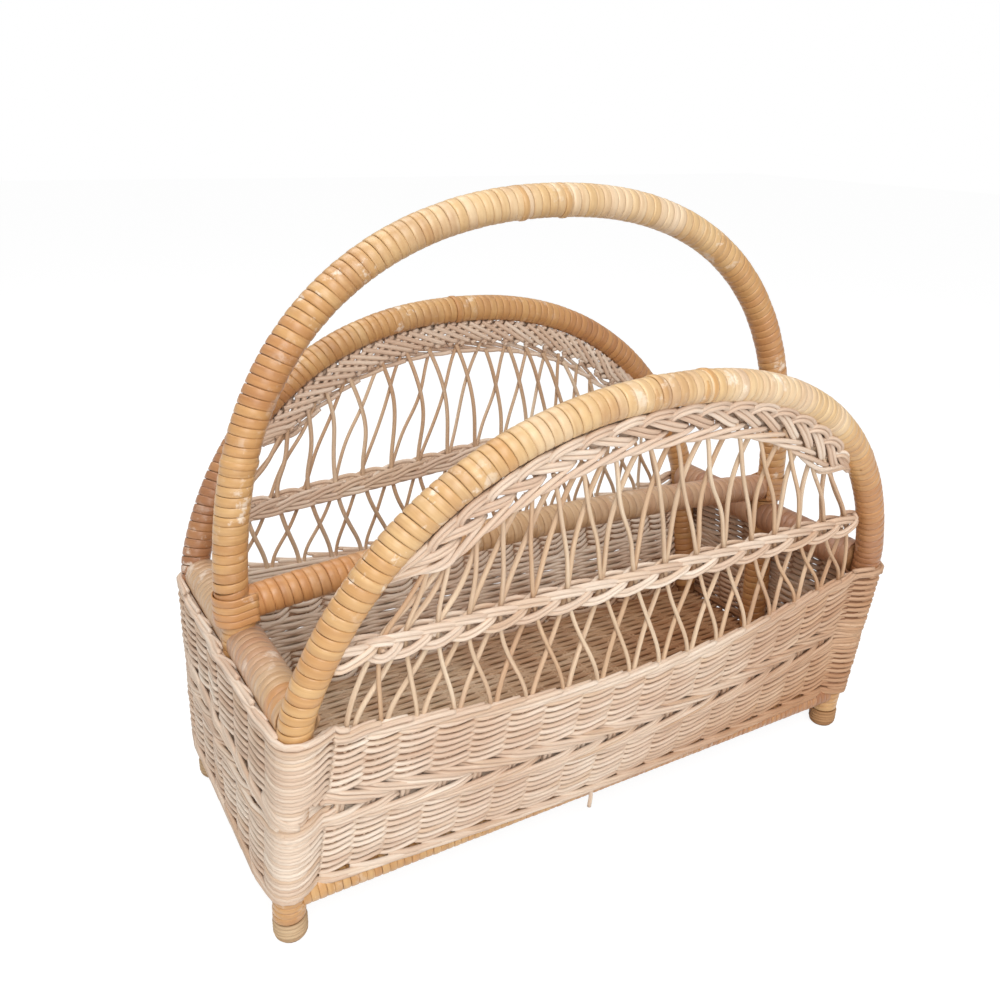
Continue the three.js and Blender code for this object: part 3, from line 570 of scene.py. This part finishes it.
def on_wall(course, height, out=0.0):
    """Places on the woven wall, with the way out of it at each"""
    course = np.asarray(course, float)
    height = np.broadcast_to(np.asarray(height, float), course.shape)
    x, y, bow = wall_plan(course, height)
    before_x, before_y, _ = wall_plan(course - probe, height)
    after_x, after_y, _ = wall_plan(course + probe, height)
    across = unit(np.stack([after_y - before_y, before_x - after_x, 0 * x], axis=1))
    z = height - np.interp(height, bow_heights, bow_sag) * bow
    place = np.stack([x, y, z], axis=1) + across * np.broadcast_to(out, course.shape)[:, None]
    place[:, 0] = np.clip(place[:, 0], -widest, widest)
    return place, across


# The weavers: two round reeds at a time go round the box, crossing between the stakes so that
# one passes before each stake and the other behind it, each round packed down on the last. A
# dark reed behind each round closes the gaps between them; its dark tint is painted shade there.
reed_pale = reed_finish("reed_pale", ("93735a", "dac2ac", "e6d4c1", "efe2d2", "dec6ad"), "d8bda6",
                        "cbb09a", 0.6)
reed_warm = reed_finish("reed_warm", ("c09c7c", "d4b594", "dfc6a8", "e9d6bc", "d6b896"), "c9a484",
                        "b9987a", 0.58)
weaver_half = 1.4
samples_a_bay = 12
# Share of the way between two crossings, level above the row's middle, and depth out of the wall
in_front = ((0, -0.95, -0.3), (0.1, -1.15, 1.4), (0.28, -1.25, 2.1), (0.6, -0.55, 2.2),
            (0.9, 1.35, 2.2), (1, 1.7, 2.0))
behind_sides = ((0, 1.7, 2.0), (0.08, 1.5, 0.6), (0.16, 0.9, -1.4), (0.42, -1.8, -2.2),
                (0.82, -1.8, -2.0), (1, -0.95, -0.3))
behind_ends = ((0, 1.7, 2.0), (0.08, 1.5, 0.6), (0.16, 1.1, -1.4), (0.5, 0.3, -2.2),
               (0.85, -0.6, -2.0), (1, -0.95, -0.3))
front_at_post = ((0, -0.95, -0.3), (0.12, -1.14, 1.3), (0.3, -1.14, 0.9), (0.66, -1.14, 0.9),
                 (0.85, 0.5, 1.7), (1, 1.7, 2.0))
behind_first_post = ((0, 1.7, 2.0), (0.1, 1.5, 0.2), (0.2, 0.4, -1.6), (0.42, 0.6, -1.3),
                     (0.56, 1.14, 0.8), (0.8, 1.14, 0.8), (0.9, 0, -0.3), (1, -0.95, -0.3))
behind_at_post = ((0, 1.7, 2.0), (0.1, 1.5, 0.2), (0.3, 1.14, 0.8), (0.64, 1.14, 0.8),
                  (0.8, 0.2, -0.6), (1, -0.95, -0.3))
course_steps = np.linspace(0, full_round, full_round * samples_a_bay + 1)
core_steps = course_steps[::3]
# The inside of the wall takes the palest tint: painted light that lifts the shaded inside of the
# box
inside_painted_light_tone, gap_painted_shade_tone = 0.7, 0.0


def wander(count, knots, size):
    spread = draw.normal(0, size, knots)
    return np.interp(np.linspace(0, knots - 1, count), np.arange(knots), spread)


def weaver(height, shift):
    """One reed right round the box: in front of every other stake, and both show at the posts"""
    bay = np.minimum(np.floor(course_steps), full_round - 1).astype(int)
    ahead = (bay + shift) % 2 == 0
    place = bay % half_round
    at_post = (place == side_bays) | (place == half_round - 1)
    cases = [ahead & at_post, place == side_bays, at_post, ahead, place > side_bays]
    ways = [read_at(way[:, 1:], way[:, 0], course_steps - bay) for way in map(np.array, (
        front_at_post, behind_first_post, behind_at_post, in_front, behind_ends, behind_sides))]
    level, out = np.select([case[:, None] for case in cases], ways[:-1], ways[-1]).T
    count = len(course_steps)
    level = level * draw.uniform(0.9, 1.1) + height + wander(count, 110, 0.16)
    out = out + wander(count, 150, 0.14)
    level, out = [np.convolve(np.concatenate([line[-2:-1], line, line[1:2]]), (0.2, 0.6, 0.2),
                              "valid") for line in (level, out)]
    out[-1], level[-1] = out[0], level[0]
    line, across = on_wall(course_steps, level, out)
    size = weaver_half * (1 + wander(count, 40, 0.05))
    tone = np.clip(draw.uniform(0.15, 0.95) + wander(count, 50, 0.14), shown_from, 1)
    # Where the reed runs behind the stakes it takes the pale inside tint: painted light
    tone = np.where(out < -0.9, inside_painted_light_tone, tone)
    pressed = np.interp(out, (-2, -0.6), (1.4, 1.03))
    return bent_rod(line, across, size * pressed, size, 6, tone)


def plain_round(level, out, wide, thick, tone, steps=core_steps):
    """One plain reed right round the box"""
    line, across = on_wall(steps, level, out)
    return bent_rod(line, across, wide, thick, 6, tone)


def woven_rounds(name, bottom, top, rounds, node):
    step = (top - bottom) / rounds
    rods = []
    for row in range(rounds):
        level = bottom + (row + 0.5) * step
        rods += [weaver(level, 0), weaver(level, 1),
                 # The reed in the middle of each round takes the darkest tint: painted shade in
                 # the gaps between rounds
                 plain_round(level + 0.1, 0, 1.9, 1.3, gap_painted_shade_tone)]
    made_of(name, rods, reed_pale, "reed_pale", node)


border_top, wale_bottom, wale_top, border_under_rim = 38, 74, 96, 132.5
woven_rounds("lower_rounds", border_top, wale_bottom, 8, "lower_weave")
woven_rounds("upper_rounds", wale_top, border_under_rim, 8, "upper_weave")

# The stakes of the box: a pair of round reeds side by side at each place, from the base border
# to the rim. The weavers and the wale pass before and behind them.
stake_half, stake_gap = 1.5, 1.55
stake_height = np.linspace(30, 136, 16)
lowest_tint = 0.13
stake_rods = []


def any_tint(highest=1):
    return draw.uniform(lowest_tint, highest)


for half in range(2):
    for place in (*range(side_bays), *range(side_bays + 1, half_round - 1)):
        for turn in (-1, 1):
            line, across = on_wall(np.full(16, half * half_round + place + 0.5), stake_height)
            beside = np.cross(across, (0, 0, 1)) * turn * stake_gap
            line = line - beside + draw.normal(0, 0.15, 3)
            stake_rods.append(bent_rod(line, across, stake_half, stake_half, 6, any_tint()))
made_of("box_stakes", stake_rods, reed_pale, "reed_pale", "lower_weave", "upper_weave")

# The wale: two rounds of paired reeds over two stakes at a time. The upper round slants down and
# the lower one up, so that they meet as a chain of arrowheads with a gap at each point.
wale_half, wale_length, strand_step = 1.35, 2.5, 2.5
upper_from, upper_to, lower_from, lower_to = 97.2, 86.9, 73.4, 80.4
opening_from = full_round - 0.42
leg_out, crease_fill, crease_reach = 0.9, 2.8, 0.6


def near_corner(course):
    """How much a place of the round lies on a corner post: 0 on the sides, 1 on the post"""
    posts = [[side_bays + 0.5], [half_round - 0.5], [-0.5]]
    middle = np.abs(np.mod(course, half_round) - posts).min(axis=0)
    return np.clip(1.35 - 1.4 * middle, 0, 1)


def crease_distance(course):
    """How far a place is from the nearest hollow beside a corner post"""
    return np.abs(np.mod(course + 1, half_round) - 1 - [[0.1], [side_bays - 0.1]]).min(axis=0)


def stroke(start, length, low, high, power, start_out, middle_out, end_out, half, samples=20,
           blunt=1.0, tone=None, post_rise=0.0, post_out=leg_out):
    """A reed over part of the round: it starts at one level and ends at another"""
    share = np.linspace(0, 1, samples)
    course = start + length * share
    level = low + (high - low) * share ** power + post_rise * near_corner(course)
    depth = np.interp(share, (0, 0.22, 0.8, 1), (start_out, middle_out, middle_out, end_out))
    depth = np.convolve(np.pad(depth, 2, "edge"), (0.1, 0.2, 0.4, 0.2, 0.1), "valid")
    depth = depth + (post_out - depth) * near_corner(course)
    if post_rise:
        depth = depth + crease_fill * np.exp(-(crease_distance(course) / crease_reach) ** 2)
    line, across = on_wall(course, level + wander(samples, 5, 0.12), depth)
    size = half * (1 + draw.normal(0, 0.04)) * np.ones(samples)
    size[-1] *= blunt
    return bent_rod(line, across, size, size, 7, any_tint() if tone is None else tone)


wale_rods = []
for place in range(full_round):
    jitter = draw.normal(0, 0.05)
    tint = draw.uniform(0.1, 0.9)
    tight = 1.0 if place % half_round < side_bays else 0.0
    for strand in range(2):
        drop = strand_step * strand
        tone = np.clip(tint + draw.uniform(-0.2, 0.2), lowest_tint, 1)
        begin = place - 0.06 + jitter - 0.1 * strand
        room = opening_from - begin
        wale_rods.append(stroke(begin, min(wale_length, room) if room > 0 else wale_length,
                                upper_from - drop, upper_to + 0.6 * tight - drop, 1.1,
                                -1.4, 3.2, -1.2, wale_half, 22, tone=tone))
        wale_rods.append(stroke(place - 0.1 + jitter - 0.08 * strand, wale_length,
                                lower_from + drop, lower_to + 2.0 * tight + drop, 1.6,
                                -1.2, 3.3, -0.8, wale_half, 22, tone=tone))
for strand in range(2):
    wale_rods.append(stroke(-0.05 - 0.04 * strand, 1.75, 92.4 - strand_step * strand,
                            86.6 - 2.3 * strand, 1.1, -1.4, 2.6, -1.2, wale_half, 18))
# Plain rods close the posts, and wavy ones the inside of the walls, behind the two rounds
for middle in (side_bays, half_round - 1, half_round + side_bays, full_round - 1):
    for level in np.arange(75.6, 97, 2.7):
        reach = 0.24 if middle == full_round - 1 and level > 86 else 0.72
        course = np.linspace(middle - 0.22, middle + 0.5 + reach, 22)
        depth = np.interp(course - middle - 0.5, (-0.72, -0.3, reach - 0.14, reach),
                          (-1.6, 0.3, 0.3, -2.4))
        line, across = on_wall(course, level + wander(22, 4, 0.15), depth)
        wale_rods.append(bent_rod(line, across, 1.42, 1.42, 7, any_tint()))
# The wavy rods inside the walls take the pale inside tint: painted light
for row, level in enumerate(np.arange(74.4, 98, 2.7)):
    wave = np.cos(math.pi * (core_steps + row))
    wale_rods.append(plain_round(level + 0.7 * wave, -2.3 + 0.5 * wave, 1.75, 1.35, inside_painted_light_tone))
made_of("chain_wale", wale_rods, reed_pale, "reed_pale", "wale_band")

# The rim border: each reed starts under the ones before it, passes two stakes outside, rises and
# is cut off against a stake. The corners are closed with smooth rounds of the same reed.
rim_half = 1.45
rim_rods = []
for place in range(full_round):
    jitter = draw.normal(0, 0.03)
    long_side = place % half_round <= side_bays + 1
    low, high = (130.8, 138.9) if long_side else (132.8, 136.9)
    begin, length, last_out = (-2.0, 2.36, 3.2) if long_side else (-3.4, 4.3, -3.4)
    rim_rods.append(stroke(place + begin + jitter, length, low, high, 1.15, 0.6, 2.4, last_out,
                           rim_half * draw.uniform(0.9, 1.04), 26, 0.82, post_rise=2.2,
                           post_out=1.1))
    rim_rods.append(stroke(place - 1.75 + jitter, 2.0, 133.4, 138.2, 1, 0.2, 0.6, 0.4, rim_half,
                           18, post_rise=1.2, post_out=-0.6))
# The rounds inside the rim take the pale inside tint: painted light
for level in (128.6, 131.2, 134.2):
    rim_rods.append(plain_round(level, -1.7, rim_half, rim_half, inside_painted_light_tone, course_steps))
made_of("rim_border_reeds", rim_rods, reed_pale, "reed_pale", "rim_border")

# The base border: reeds laid over the top of the base rail, each over two stakes, and a smooth
# one under them. One end has worked loose at the front and hangs down.
base_half = 1.6
base_rods = []
for place in range(full_round):
    jitter = draw.normal(0, 0.05)
    base_rods.append(stroke(place - 0.8 + jitter, 2.0, 37.4, 34.0, 0.8, 1.6, 4.2, 2.6,
                            base_half, 18, 0.7))
    base_rods.append(stroke(place - 0.3 + jitter, 2.0, 34.6, 32.6, 1, 2.2, 4.9, 3.4,
                            base_half, 18))
loose_end = curve_through([(-15.5, -87, 36), (-16.5, -90.3, 27), (-17.5, -90.6, 19)], 2)
base_rods.append(bent_rod(loose_end, (0, -1, 0), 1.3, 1.3, 7, 0.8))
made_of("base_border_reeds", base_rods, reed_pale, "reed_pale", "base_border")

# The woven floor: round reeds laid close along the basket, over and under pairs of stakes that
# cross it, with flat reeds under them and plain ones round the edge that close the gaps.
floor_level, floor_bays, floor_spread, floor_end, floor_pitch = 38.3, 20, 0.1, 206, 3.0
floor_x = np.linspace(-floor_end, floor_end, floor_bays * 4 + 1)
floor_bow = 1 + floor_spread * bow_share(floor_x)
floor_rods = []
for row, y in enumerate(np.arange(-76.5, 76.6, floor_pitch)):
    ripple = 0.85 * np.cos(np.linspace(0, floor_bays * math.pi, len(floor_x)) + row % 2 * math.pi)
    line = np.stack([floor_x, y * floor_bow + wander(len(floor_x), 20, 0.2),
                     floor_level + ripple], axis=1)
    floor_rods.append(bent_rod(line, (0, 0, 1), 1.74, 1.3, 6, draw.uniform(0.05, 0.9)))
for bay in range(floor_bays):
    x = -floor_end + (bay + 0.5) * 2 * floor_end / floor_bays
    for turn in (-1.5, 1.5):
        line = np.array([(x + turn, side * 74, floor_level) for side in (-1, 1)], float)
        floor_rods.append(bent_rod(spaced(line, 20), (0, 0, 1), 1.3, 1.0, 6, 0.5))
for y in np.arange(-78, 78.1, floor_pitch):
    line = np.stack([floor_x, y * floor_bow, 0 * floor_x + floor_level - 1.1], axis=1)
    floor_rods.append(bent_rod(line[::8], (0, 0, 1), 1.7, 0.7, 6, 0))
floor_rods.append(plain_round(38.9, -2.8, 1.5, 1.5, 0.1, course_steps))
for level, out in ((37.2, -1.4), (40.6, -1.8)):
    floor_rods.append(plain_round(level, out, 1.5, 1.5, 0.1))
made_of("floor_reeds", floor_rods, reed_warm, "reed_pale", "floor_weave")

# The panels under the arches. At each place two reeds come up through the rim: one leans one way
# and one the other, they cross below the middle braid and again above it, and end at the arch.
place_at_rim = np.array([-174.3, -157.6, -138.7, -118.5, -98, -77, -54.5, -32, -10.3, 11, 32.6,
                         56, 80, 103, 127, 150, 172])
left_low = (-159, -143, -126, -109, -90.5, -67, -46, -21, 0.6, 20.6, 45.6, 67.5, 89.4, 106, 128.7,
            151, 170)
right_low = (-165.5, -152, -133, -115.6, -98, -76.7, -53, -30, -7.5, 15, 38.7, 60, 80, 101, 120,
             142, 164.4)
left_high = (-157, -146, -128, -110.5, -92, -73.3, -51.7, -30.5, -8.7, 13.7, 37, 57.5, 80, 98.7,
             118.7, 141, 160)
right_high = (-154.5, -143, -125, -107.8, -89.5, -70, -49.4, -26.7, -5, 17.5, 40.6, 61, 82.5,
              102.5, 122, 142.5, 162)
left_top = (((-151, 191), (-140.5, 210)), ((-141, 194), (-136.7, 211)),
            ((-126.5, 199), (-124.5, 214)),
            ((-108.4, 199), (-109.5, 225)), ((-91.7, 199), (-94.5, 219), (-96, 232)),
            ((-75, 199), (-79, 221), (-80.5, 242)), ((-54.4, 203), (-61, 225), (-67, 246)),
            ((-35.5, 208), (-45.5, 230), (-50.5, 249)), ((-12.5, 205), (-25.5, 229), (-32, 253)),
            ((8.7, 205), (-1.2, 237), (-10, 256)), ((30, 205), (16.3, 231), (7.5, 257)),
            ((50, 210), (35, 232), (28, 257)), ((72.5, 205), (60, 231), (50.6, 256)),
            ((90, 212), (77.5, 231), (66, 254)), ((112.5, 207), (100, 227), (90, 247)),
            ((132.5, 205), (118.7, 222), (109, 240)), ((147.5, 202), (136, 216), (126, 227)))
right_top = (((-146.5, 193), (-137, 201), (-128, 213)), ((-139, 187), (-128, 203), (-124, 214)),
             ((-121, 188), (-113.5, 204), (-110, 217)), ((-105.5, 194), (-98, 214), (-89, 236)),
             ((-86.7, 197), (-81, 216), (-71.6, 244)), ((-68, 203), (-64.5, 220), (-56.7, 249)),
             ((-49.4, 208), (-47, 225), (-41, 251)), ((-28.3, 208), (-26.7, 225), (-21, 251)),
             ((-5.6, 210), (-5, 230), (1.3, 257)), ((15.6, 210), (16.3, 234), (23, 257)),
             ((35, 212), (33.7, 230), (40.6, 257)), ((57, 210), (55, 234), (60, 254)),
             ((78.7, 205), (77, 220), (84, 246)), ((100.6, 210), (98.7, 227), (102, 241)),
             ((117.5, 202), (115.6, 216), (116, 231)), ((136, 197), (133, 214), (131, 221)),
             ((153.7, 195), (143.7, 210), (135, 221)))
braid_heights = {"front": 178, "back": 184}
# For each way of leaning: the places at the rim, below and above the braid and at the arch, how
# far out the reed lies at each, and its size
leanings = ((np.append(place_at_rim[1:], place_at_rim[-1] + 3), left_low, left_high, left_top,
             (0.4, 0.6, 1.6, 1.2, 0.8, 1.5, 0.6), (1.25, 1.2)),
            (np.append(place_at_rim[0] - 1, place_at_rim[:-1] + 3), right_low, right_high,
             right_top, (0, 0, -1.4, -1.2, -0.9, -1.5, -0.6), (1.5, 1.3)))


def on_panel(side, along, height, out, bow=0.0):
    """Places in the plane of an arch; along is counted to the right as seen from outside"""
    bow = bow * bow_share(along)
    lean = math.hypot(1, pole_lean)
    y = half_depth(height) + rim_bulge * bow + out / lean
    z = height - rim_sag * bow - out * pole_lean / lean
    return np.stack([-side * along, side * y, z], axis=1)


def panel_out(side):
    return unit(np.array([0, side, -pole_lean]))


for name, side in sides.items():
    raised = braid_heights[name] - braid_heights["front"]
    rods = []
    for pair in range(side_bays):
        for bases, lows, highs, tops, outs, half in leanings:
            base, low = bases[pair], lows[pair]
            middle = 0.5 * (base + low) + draw.normal(0, 0.6)
            knots = [(base, 128, outs[0], 1), (base, 141, outs[1], 1), (middle, 153, outs[2], 0.5),
                     (low, 165 + raised, outs[3], 0.08), (highs[pair], 187 + raised, outs[4], 0)]
            knots += [(x + draw.normal(0, 0.3), z, outs[5], 0) for x, z in tops[pair]]
            rise = 0.55 * (knots[-1][0] - knots[-2][0])
            knots.append((knots[-1][0] + rise, knots[-1][1] + 9, outs[6], 0))
            line = eased(curve_through(on_panel(side, *np.array(knots, float).T), 2.2), 9)
            rods.append(bent_rod(line, panel_out(side), *half, 8, draw.uniform(0.1, 0.9)))
    made_of(f"{name}_panel_reeds", rods, reed_warm, "reed_warm", f"{name}_lattice")

# The middle braid: paired reeds waled across the panel. One pair slants down before each two
# stakes and one dips under it and comes up to meet it, so that it reads as a chain. The one at
# the back has sunk towards one end.
braid_half = 1.36
back_braid_slope, level_place, sunk_from = 0.08, 27, -60
braid_ends = ((-181, 0, -9), (183, 999, 9))
upper_link = ((-24, 0.6, -2.8), (-19, 3.4, 0.6), (-12, 5.4, 3.4), (-2, 5.2, 4.2), (7, 3.6, 3.4),
              (13, 1.4, 1.0), (16, 0.4, -1.5))
lower_link = ((-20, -1.2, -2.8), (-15, -3.8, 0.8), (-8, -4.9, 3.6), (0, -4.0, 4.4), (8, -1.0, 4.5),
              (14, 1.6, 3.4), (18, 2.8, -0.8))


def paired(knots, spread, spacing):
    """Two lines side by side through places in a panel, given as along, height and out"""
    line = curve_through(knots, spacing)
    beside = np.zeros_like(line)
    beside[:, :2] = spread * unit(np.gradient(line, axis=0)[:, 1::-1] * (-1, 1))
    return line - beside, line + beside


for name, side in sides.items():
    level = braid_heights[name]
    spots = np.concatenate([[-176], (np.array(left_high) + np.array(right_high)) / 2, [177]])
    rods = []
    for spot, after in zip(spots[:-1], spots[1:]):
        reach = (after - spot) / 22
        for link in (upper_link, lower_link):
            face = [(spot + x * reach + draw.normal(0, 0.3), level + z, out) for x, z, out in link]
            inside = [(spot + 11 + x * reach, level + 0.4 - z * 0.6, -out) for x, z, out in link]
            for knots in (face, inside):
                knots = np.clip(knots, *braid_ends)
                if side > 0:
                    sunk = level_place - np.maximum(knots[:, 0], sunk_from)
                    knots[:, 1] += back_braid_slope * sunk
                tint = draw.uniform(0.1, 0.95)
                tones = (tint, tint + draw.uniform(-0.2, 0.2))
                for path, tone in zip(paired(knots, 1.3, 1.8), tones):
                    rods.append(bent_rod(on_panel(side, *path.T), panel_out(side), braid_half,
                                         braid_half, 8, np.clip(tone, lowest_tint, 1)))
    made_of(f"{name}_braid_reeds", rods, reed_pale, "reed_warm", f"{name}_middle_braid")


# The arch braid: pairs of reeds plaited along the inside of the arch, each pair rising from
# below, turning over at the top and running down to be tucked under the pairs after it. Short
# slanting reeds in two layers are the back of the plait.
def under_arch(name, low, high):
    """The arch's own line between two shares of its length, from the left as seen from outside"""
    line = arch_lines[name]
    line = line[int(low * (len(line) - 1)):int(high * (len(line) - 1)) + 1]
    return line[::-1] if sides[name] > 0 else line


def arch_share(name, height):
    line = arch_lines[name]
    return np.argmax(line[:, 2] > height) / (len(line) - 1)


def hung(name, line, at, drop, out):
    """Places at distances along an arch, some way inside it and some way out of its plane"""
    outward = panel_out(sides[name])
    inside = np.cross(unit(np.gradient(line, axis=0)), outward)
    inside *= np.sign(-inside[len(inside) // 2, 2])
    run = run_along(line)
    return (read_at(line, run, at) + read_at(inside, run, at) * drop[:, None]
            + outward * out[:, None])


plait_pitch, end_taper, end_drop, shoulder_rise = 19.8, 42, 5, 2.4
hook = ((-3, 20.5, -2.5), (0, 17.4, 1.2), (2.5, 13.6, 3.6), (7, 11.5, 4.6), (14, 10.9, 4.8),
        (20.5, 12.0, 3.4), (26, 13.8, 1.6), (33, 16.4, 3.0), (44, 20.6, 3.2), (52, 23.2, 1.8),
        (57, 24.4, -1.5))
long_stroke = ((-4, 29.6, -1.8), (3, 30.4, 1.0), (12, 30.0, 3.2), (27, 27.4, 3.6), (42, 25.0, 2.6),
               (50, 24.0, -0.5))


def along_arch(name, low, high, knots_of, half, node, piece, pair, slot):
    """A row of reeds along an arch, each link like the last, drawn in towards both ends"""
    line = under_arch(name, arch_share(name, low), 1 - arch_share(name, high))
    outward = panel_out(sides[name])
    length = run_along(line)[-1]
    count = round(length / plait_pitch)
    pitch = length / count
    rods = []
    for link in range(-2, count):
        start = link * pitch + draw.normal(0, 0.5)
        knots = np.array([(start + at * pitch / plait_pitch, drop, out)
                          for at, drop, out in knots_of])
        knots[:, 1] += draw.normal(0, 0.15, len(knots))
        tint = draw.uniform(0.05, 0.95)
        strands = (zip(paired(knots, 1.32, 1.7), (tint, tint + draw.uniform(-0.25, 0.25)))
                   if pair else [(curve_through(knots, 2.4), tint)])
        for path, tone in strands:
            at, drop, out = path[(path[:, 0] > 0) & (path[:, 0] < length)].T
            if len(at) > 5:
                inward = np.clip(np.minimum(at, length - at) / end_taper, 0, 1)
                inward = inward ** 2 * (3 - 2 * inward)
                raised = shoulder_rise * np.clip(at / length / 0.3 - 1.2, 0, 1)
                place = hung(name, line, at, end_drop + (drop - raised - end_drop) * inward,
                             -1 + (out + 1) * inward)
                rods.append(bent_rod(place, outward, half, half, 8,
                                     np.clip(tone, lowest_tint, 1)))
    share = np.linspace(0, 1, 14)
    for link in range(2 * count - 2 if pair else 0):
        for first, last, out in ((9.5, 24, -0.8), (22, 10, -2.0)):
            at = share * 27 + (0.5 * link + draw.uniform(0, 0.1)) * pitch
            drop = first + (last - first) * share ** 1.2
            inward = np.clip(np.minimum(at, length - at) / end_taper, 0, 1)
            place = hung(name, line, np.clip(at, 1, length - 1),
                         end_drop + (drop - end_drop) * inward,
                         out - 1.2 * np.cos(np.linspace(-1.5, 1.5, 14)))
            rods.append(bent_rod(place, outward, 1.6, 1.3, 8, any_tint(0.9)))
    made_of(piece, rods, reed_pale, slot, node)


for name in sides:
    along_arch(name, 208, 214, hook, 1.38, f"{name}_arch_braid", f"{name}_arch_plait", True,
               "reed_warm")

# The twining under the plait: pale reeds in long strokes, each rising from the inside under the
# one before it.
for name in sides:
    along_arch(name, 210, 216, long_stroke, 1.45, f"{name}_arch_twining",
               f"{name}_twining_reeds", False, "reed_pale")

# The feet: round reed wound round the end of each leg and drawn in at the floor, with flat cane
# bands above it that hide the leg up to the base rail.
reed_foot = reed_finish("reed_foot", ("b8966c", "c9ab84", "d4b892", "dcc4a2", "c7a67d"),
                        "a98760", "a5825c", 0.6)
foot_turns, foot_bottom, foot_top = 5, 1.55, 12.4
foot_radius, foot_waist, foot_reed = 6.9, 2.4, 1.35
turn = np.linspace(0, foot_turns, foot_turns * 24 + 1)
height = foot_bottom + (foot_top - foot_bottom) * turn / foot_turns
radius = foot_radius - foot_waist * (np.maximum(0, 5 - height) / 5) ** 2 + foot_reed
angle = turn * 2 * math.pi
out = np.stack([np.cos(angle), np.sin(angle), 0 * angle], axis=1)
for side_name, side in sides.items():
    for end_name, end in ends.items():
        name = f"{side_name}_{end_name}"
        x, y = end * foot_half_length, side * foot_half_depth
        path = out * radius[:, None] + np.stack([x + 0 * turn, y + 0 * turn, height], axis=1)
        made_of(f"foot_reeds_{name}", [bent_rod(path, out, 1.25, 1.2, 8, 0.5)], reed_foot,
                "reed_foot", f"foot_winding_{name}")
        leg = np.array([(x, y, 13.2), (x, y, stub_height), (end * 204.4, side * 80, 34)], float)
        bands = cane_turns(leg, (1, 0, 0), arch_wrap, 4.2, (0.5, 0.4))
        made_of(f"foot_cane_{name}", [bands], cane_honey, "cane_honey",
                f"foot_lashing_{name}")

# The lashings of the centre bar: flat cane round the handle's leg and along the bar, one strand
# beside the next.
lash_bottom, lash_step, lash_slant, lash_along = 155.8, 4.3, 1.6, 12
turn = np.linspace(-0.5 * math.pi, 0.5 * math.pi, 18)
for name, end in ends.items():
    centre = end * (handle_reach - 0.3)
    rods = []
    for strand in range(4):
        level = lash_bottom + lash_step * strand
        reach = handle_wrap + 0.3 + 0.12 * (strand % 2)
        arc = np.stack([centre + end * reach * np.cos(turn), reach * np.sin(turn),
                        level + 0 * turn], axis=1)
        first = [(centre - end * lash_along, -reach + 0.6, level + lash_slant)]
        last = [(centre - end * lash_along, reach - 0.6, level - lash_slant)]
        path = spaced(np.concatenate([first, arc, last]), 2)
        out = path - np.array([centre, 0, level])
        out[:, 2] = 0
        out[np.abs(path[:, 0]) < abs(centre), 0] = 0
        rods.append(bent_rod(path, out, 2.15, 0.9, cane_section, draw.uniform(0.15, 0.4)))
    made_of(f"bar_cane_lashing_{name}", rods, cane_honey, "cane_honey",
            f"bar_lashing_{name}")

# The studio: a plain pale floor that looks white but takes a soft shadow, three soft lamps, and
# pale light all round it.
white = Mix(bpy.data.materials.new("studio_white"))
rays = white.add("LightPath", {}, "Is Camera Ray").node.outputs
seen = white.reckon("MAXIMUM", rays["Is Camera Ray"], rays["Is Glossy Ray"])
glow = white.add("Emission", {"Color": (1, 1, 1, 1), "Strength": 0.9}, 0)
shadow = white.add("BsdfDiffuse", {"Color": (0.2, 0.2, 0.2, 1)}, 0)
both = white.add("AddShader", {0: glow, 1: shadow}, 0)
plain = white.nodes["Principled BSDF"]
white.fill(plain, {"Base Color": (0.8, 0.8, 0.8, 1), "Roughness": 0.9})
veil = white.add("MixShader", {0: seen, 1: plain.outputs[0], 2: both}, 0)
white.fill(white.nodes["Material Output"], {"Surface": veil})

floor_shape = bmesh.new()
bmesh.ops.create_grid(floor_shape, x_segments=1, y_segments=1, size=6)
floor_mesh = bpy.data.meshes.new("studio_floor")
floor_shape.to_mesh(floor_mesh)
floor_shape.free()
floor_mesh.materials.append(white.owner)
studio_floor = into_scene("studio_floor", floor_mesh)

world = bpy.data.worlds.new("studio")
bpy.context.scene.world = world
light = Mix(world)
level = light.span(light.add("LightPath", {}, "Is Camera Ray"), 0, 1, 0.42, 1.0)
light.fill(light.nodes["Background"], {"Color": (1, 1, 1, 1), "Strength": level})


def soft_lamp(name, place, target, size, power):
    lamp = bpy.data.lights.new(name, "AREA")
    lamp.shape = "DISK"
    lamp.size = size
    lamp.energy = power
    lamp_object = into_scene(name, lamp)
    lamp_object.location = place
    aim = Vector(target) - Vector(place)
    lamp_object.rotation_euler = aim.to_track_quat("-Z", "Y").to_euler()


soft_lamp("window", (-0.32, -0.85, 1.25), (-0.05, 0, 0.12), 0.9, 8)
soft_lamp("fill", (-0.5, -1.4, 0.85), (0, 0, 0.2), 1.2, 12.5)
soft_lamp("sky", (-0.3, 0.5, 1.4), (0, 0, 0.2), 1.1, 8.5)

# The camera: at the photograph's own place, looking down on the front left corner, turned,
# tilted and rolled so that the basket lies over the one in the photograph.
azimuth, elevation, roll = (math.radians(angle) for angle in (-30.854, 22.022, 1.402))
target, distance = Vector((0.001389, 0.057429, 0.166953)), 0.659459
camera_data = bpy.data.cameras.new("photograph")
camera_data.lens = 34.1665
camera_data.sensor_width = 36
camera_data.sensor_fit = "HORIZONTAL"
camera_data.clip_start = 0.01
camera = into_scene("photograph", camera_data)
camera.matrix_world = (Matrix.Translation(target) @ Matrix.Rotation(azimuth, 4, "Z")
                       @ Matrix.Rotation(math.pi / 2 - elevation, 4, "X")
                       @ Matrix.Rotation(roll, 4, "Z") @ Matrix.Translation((0, 0, distance)))
bpy.context.scene.camera = camera
bpy.context.scene.view_settings.view_transform = "Standard"
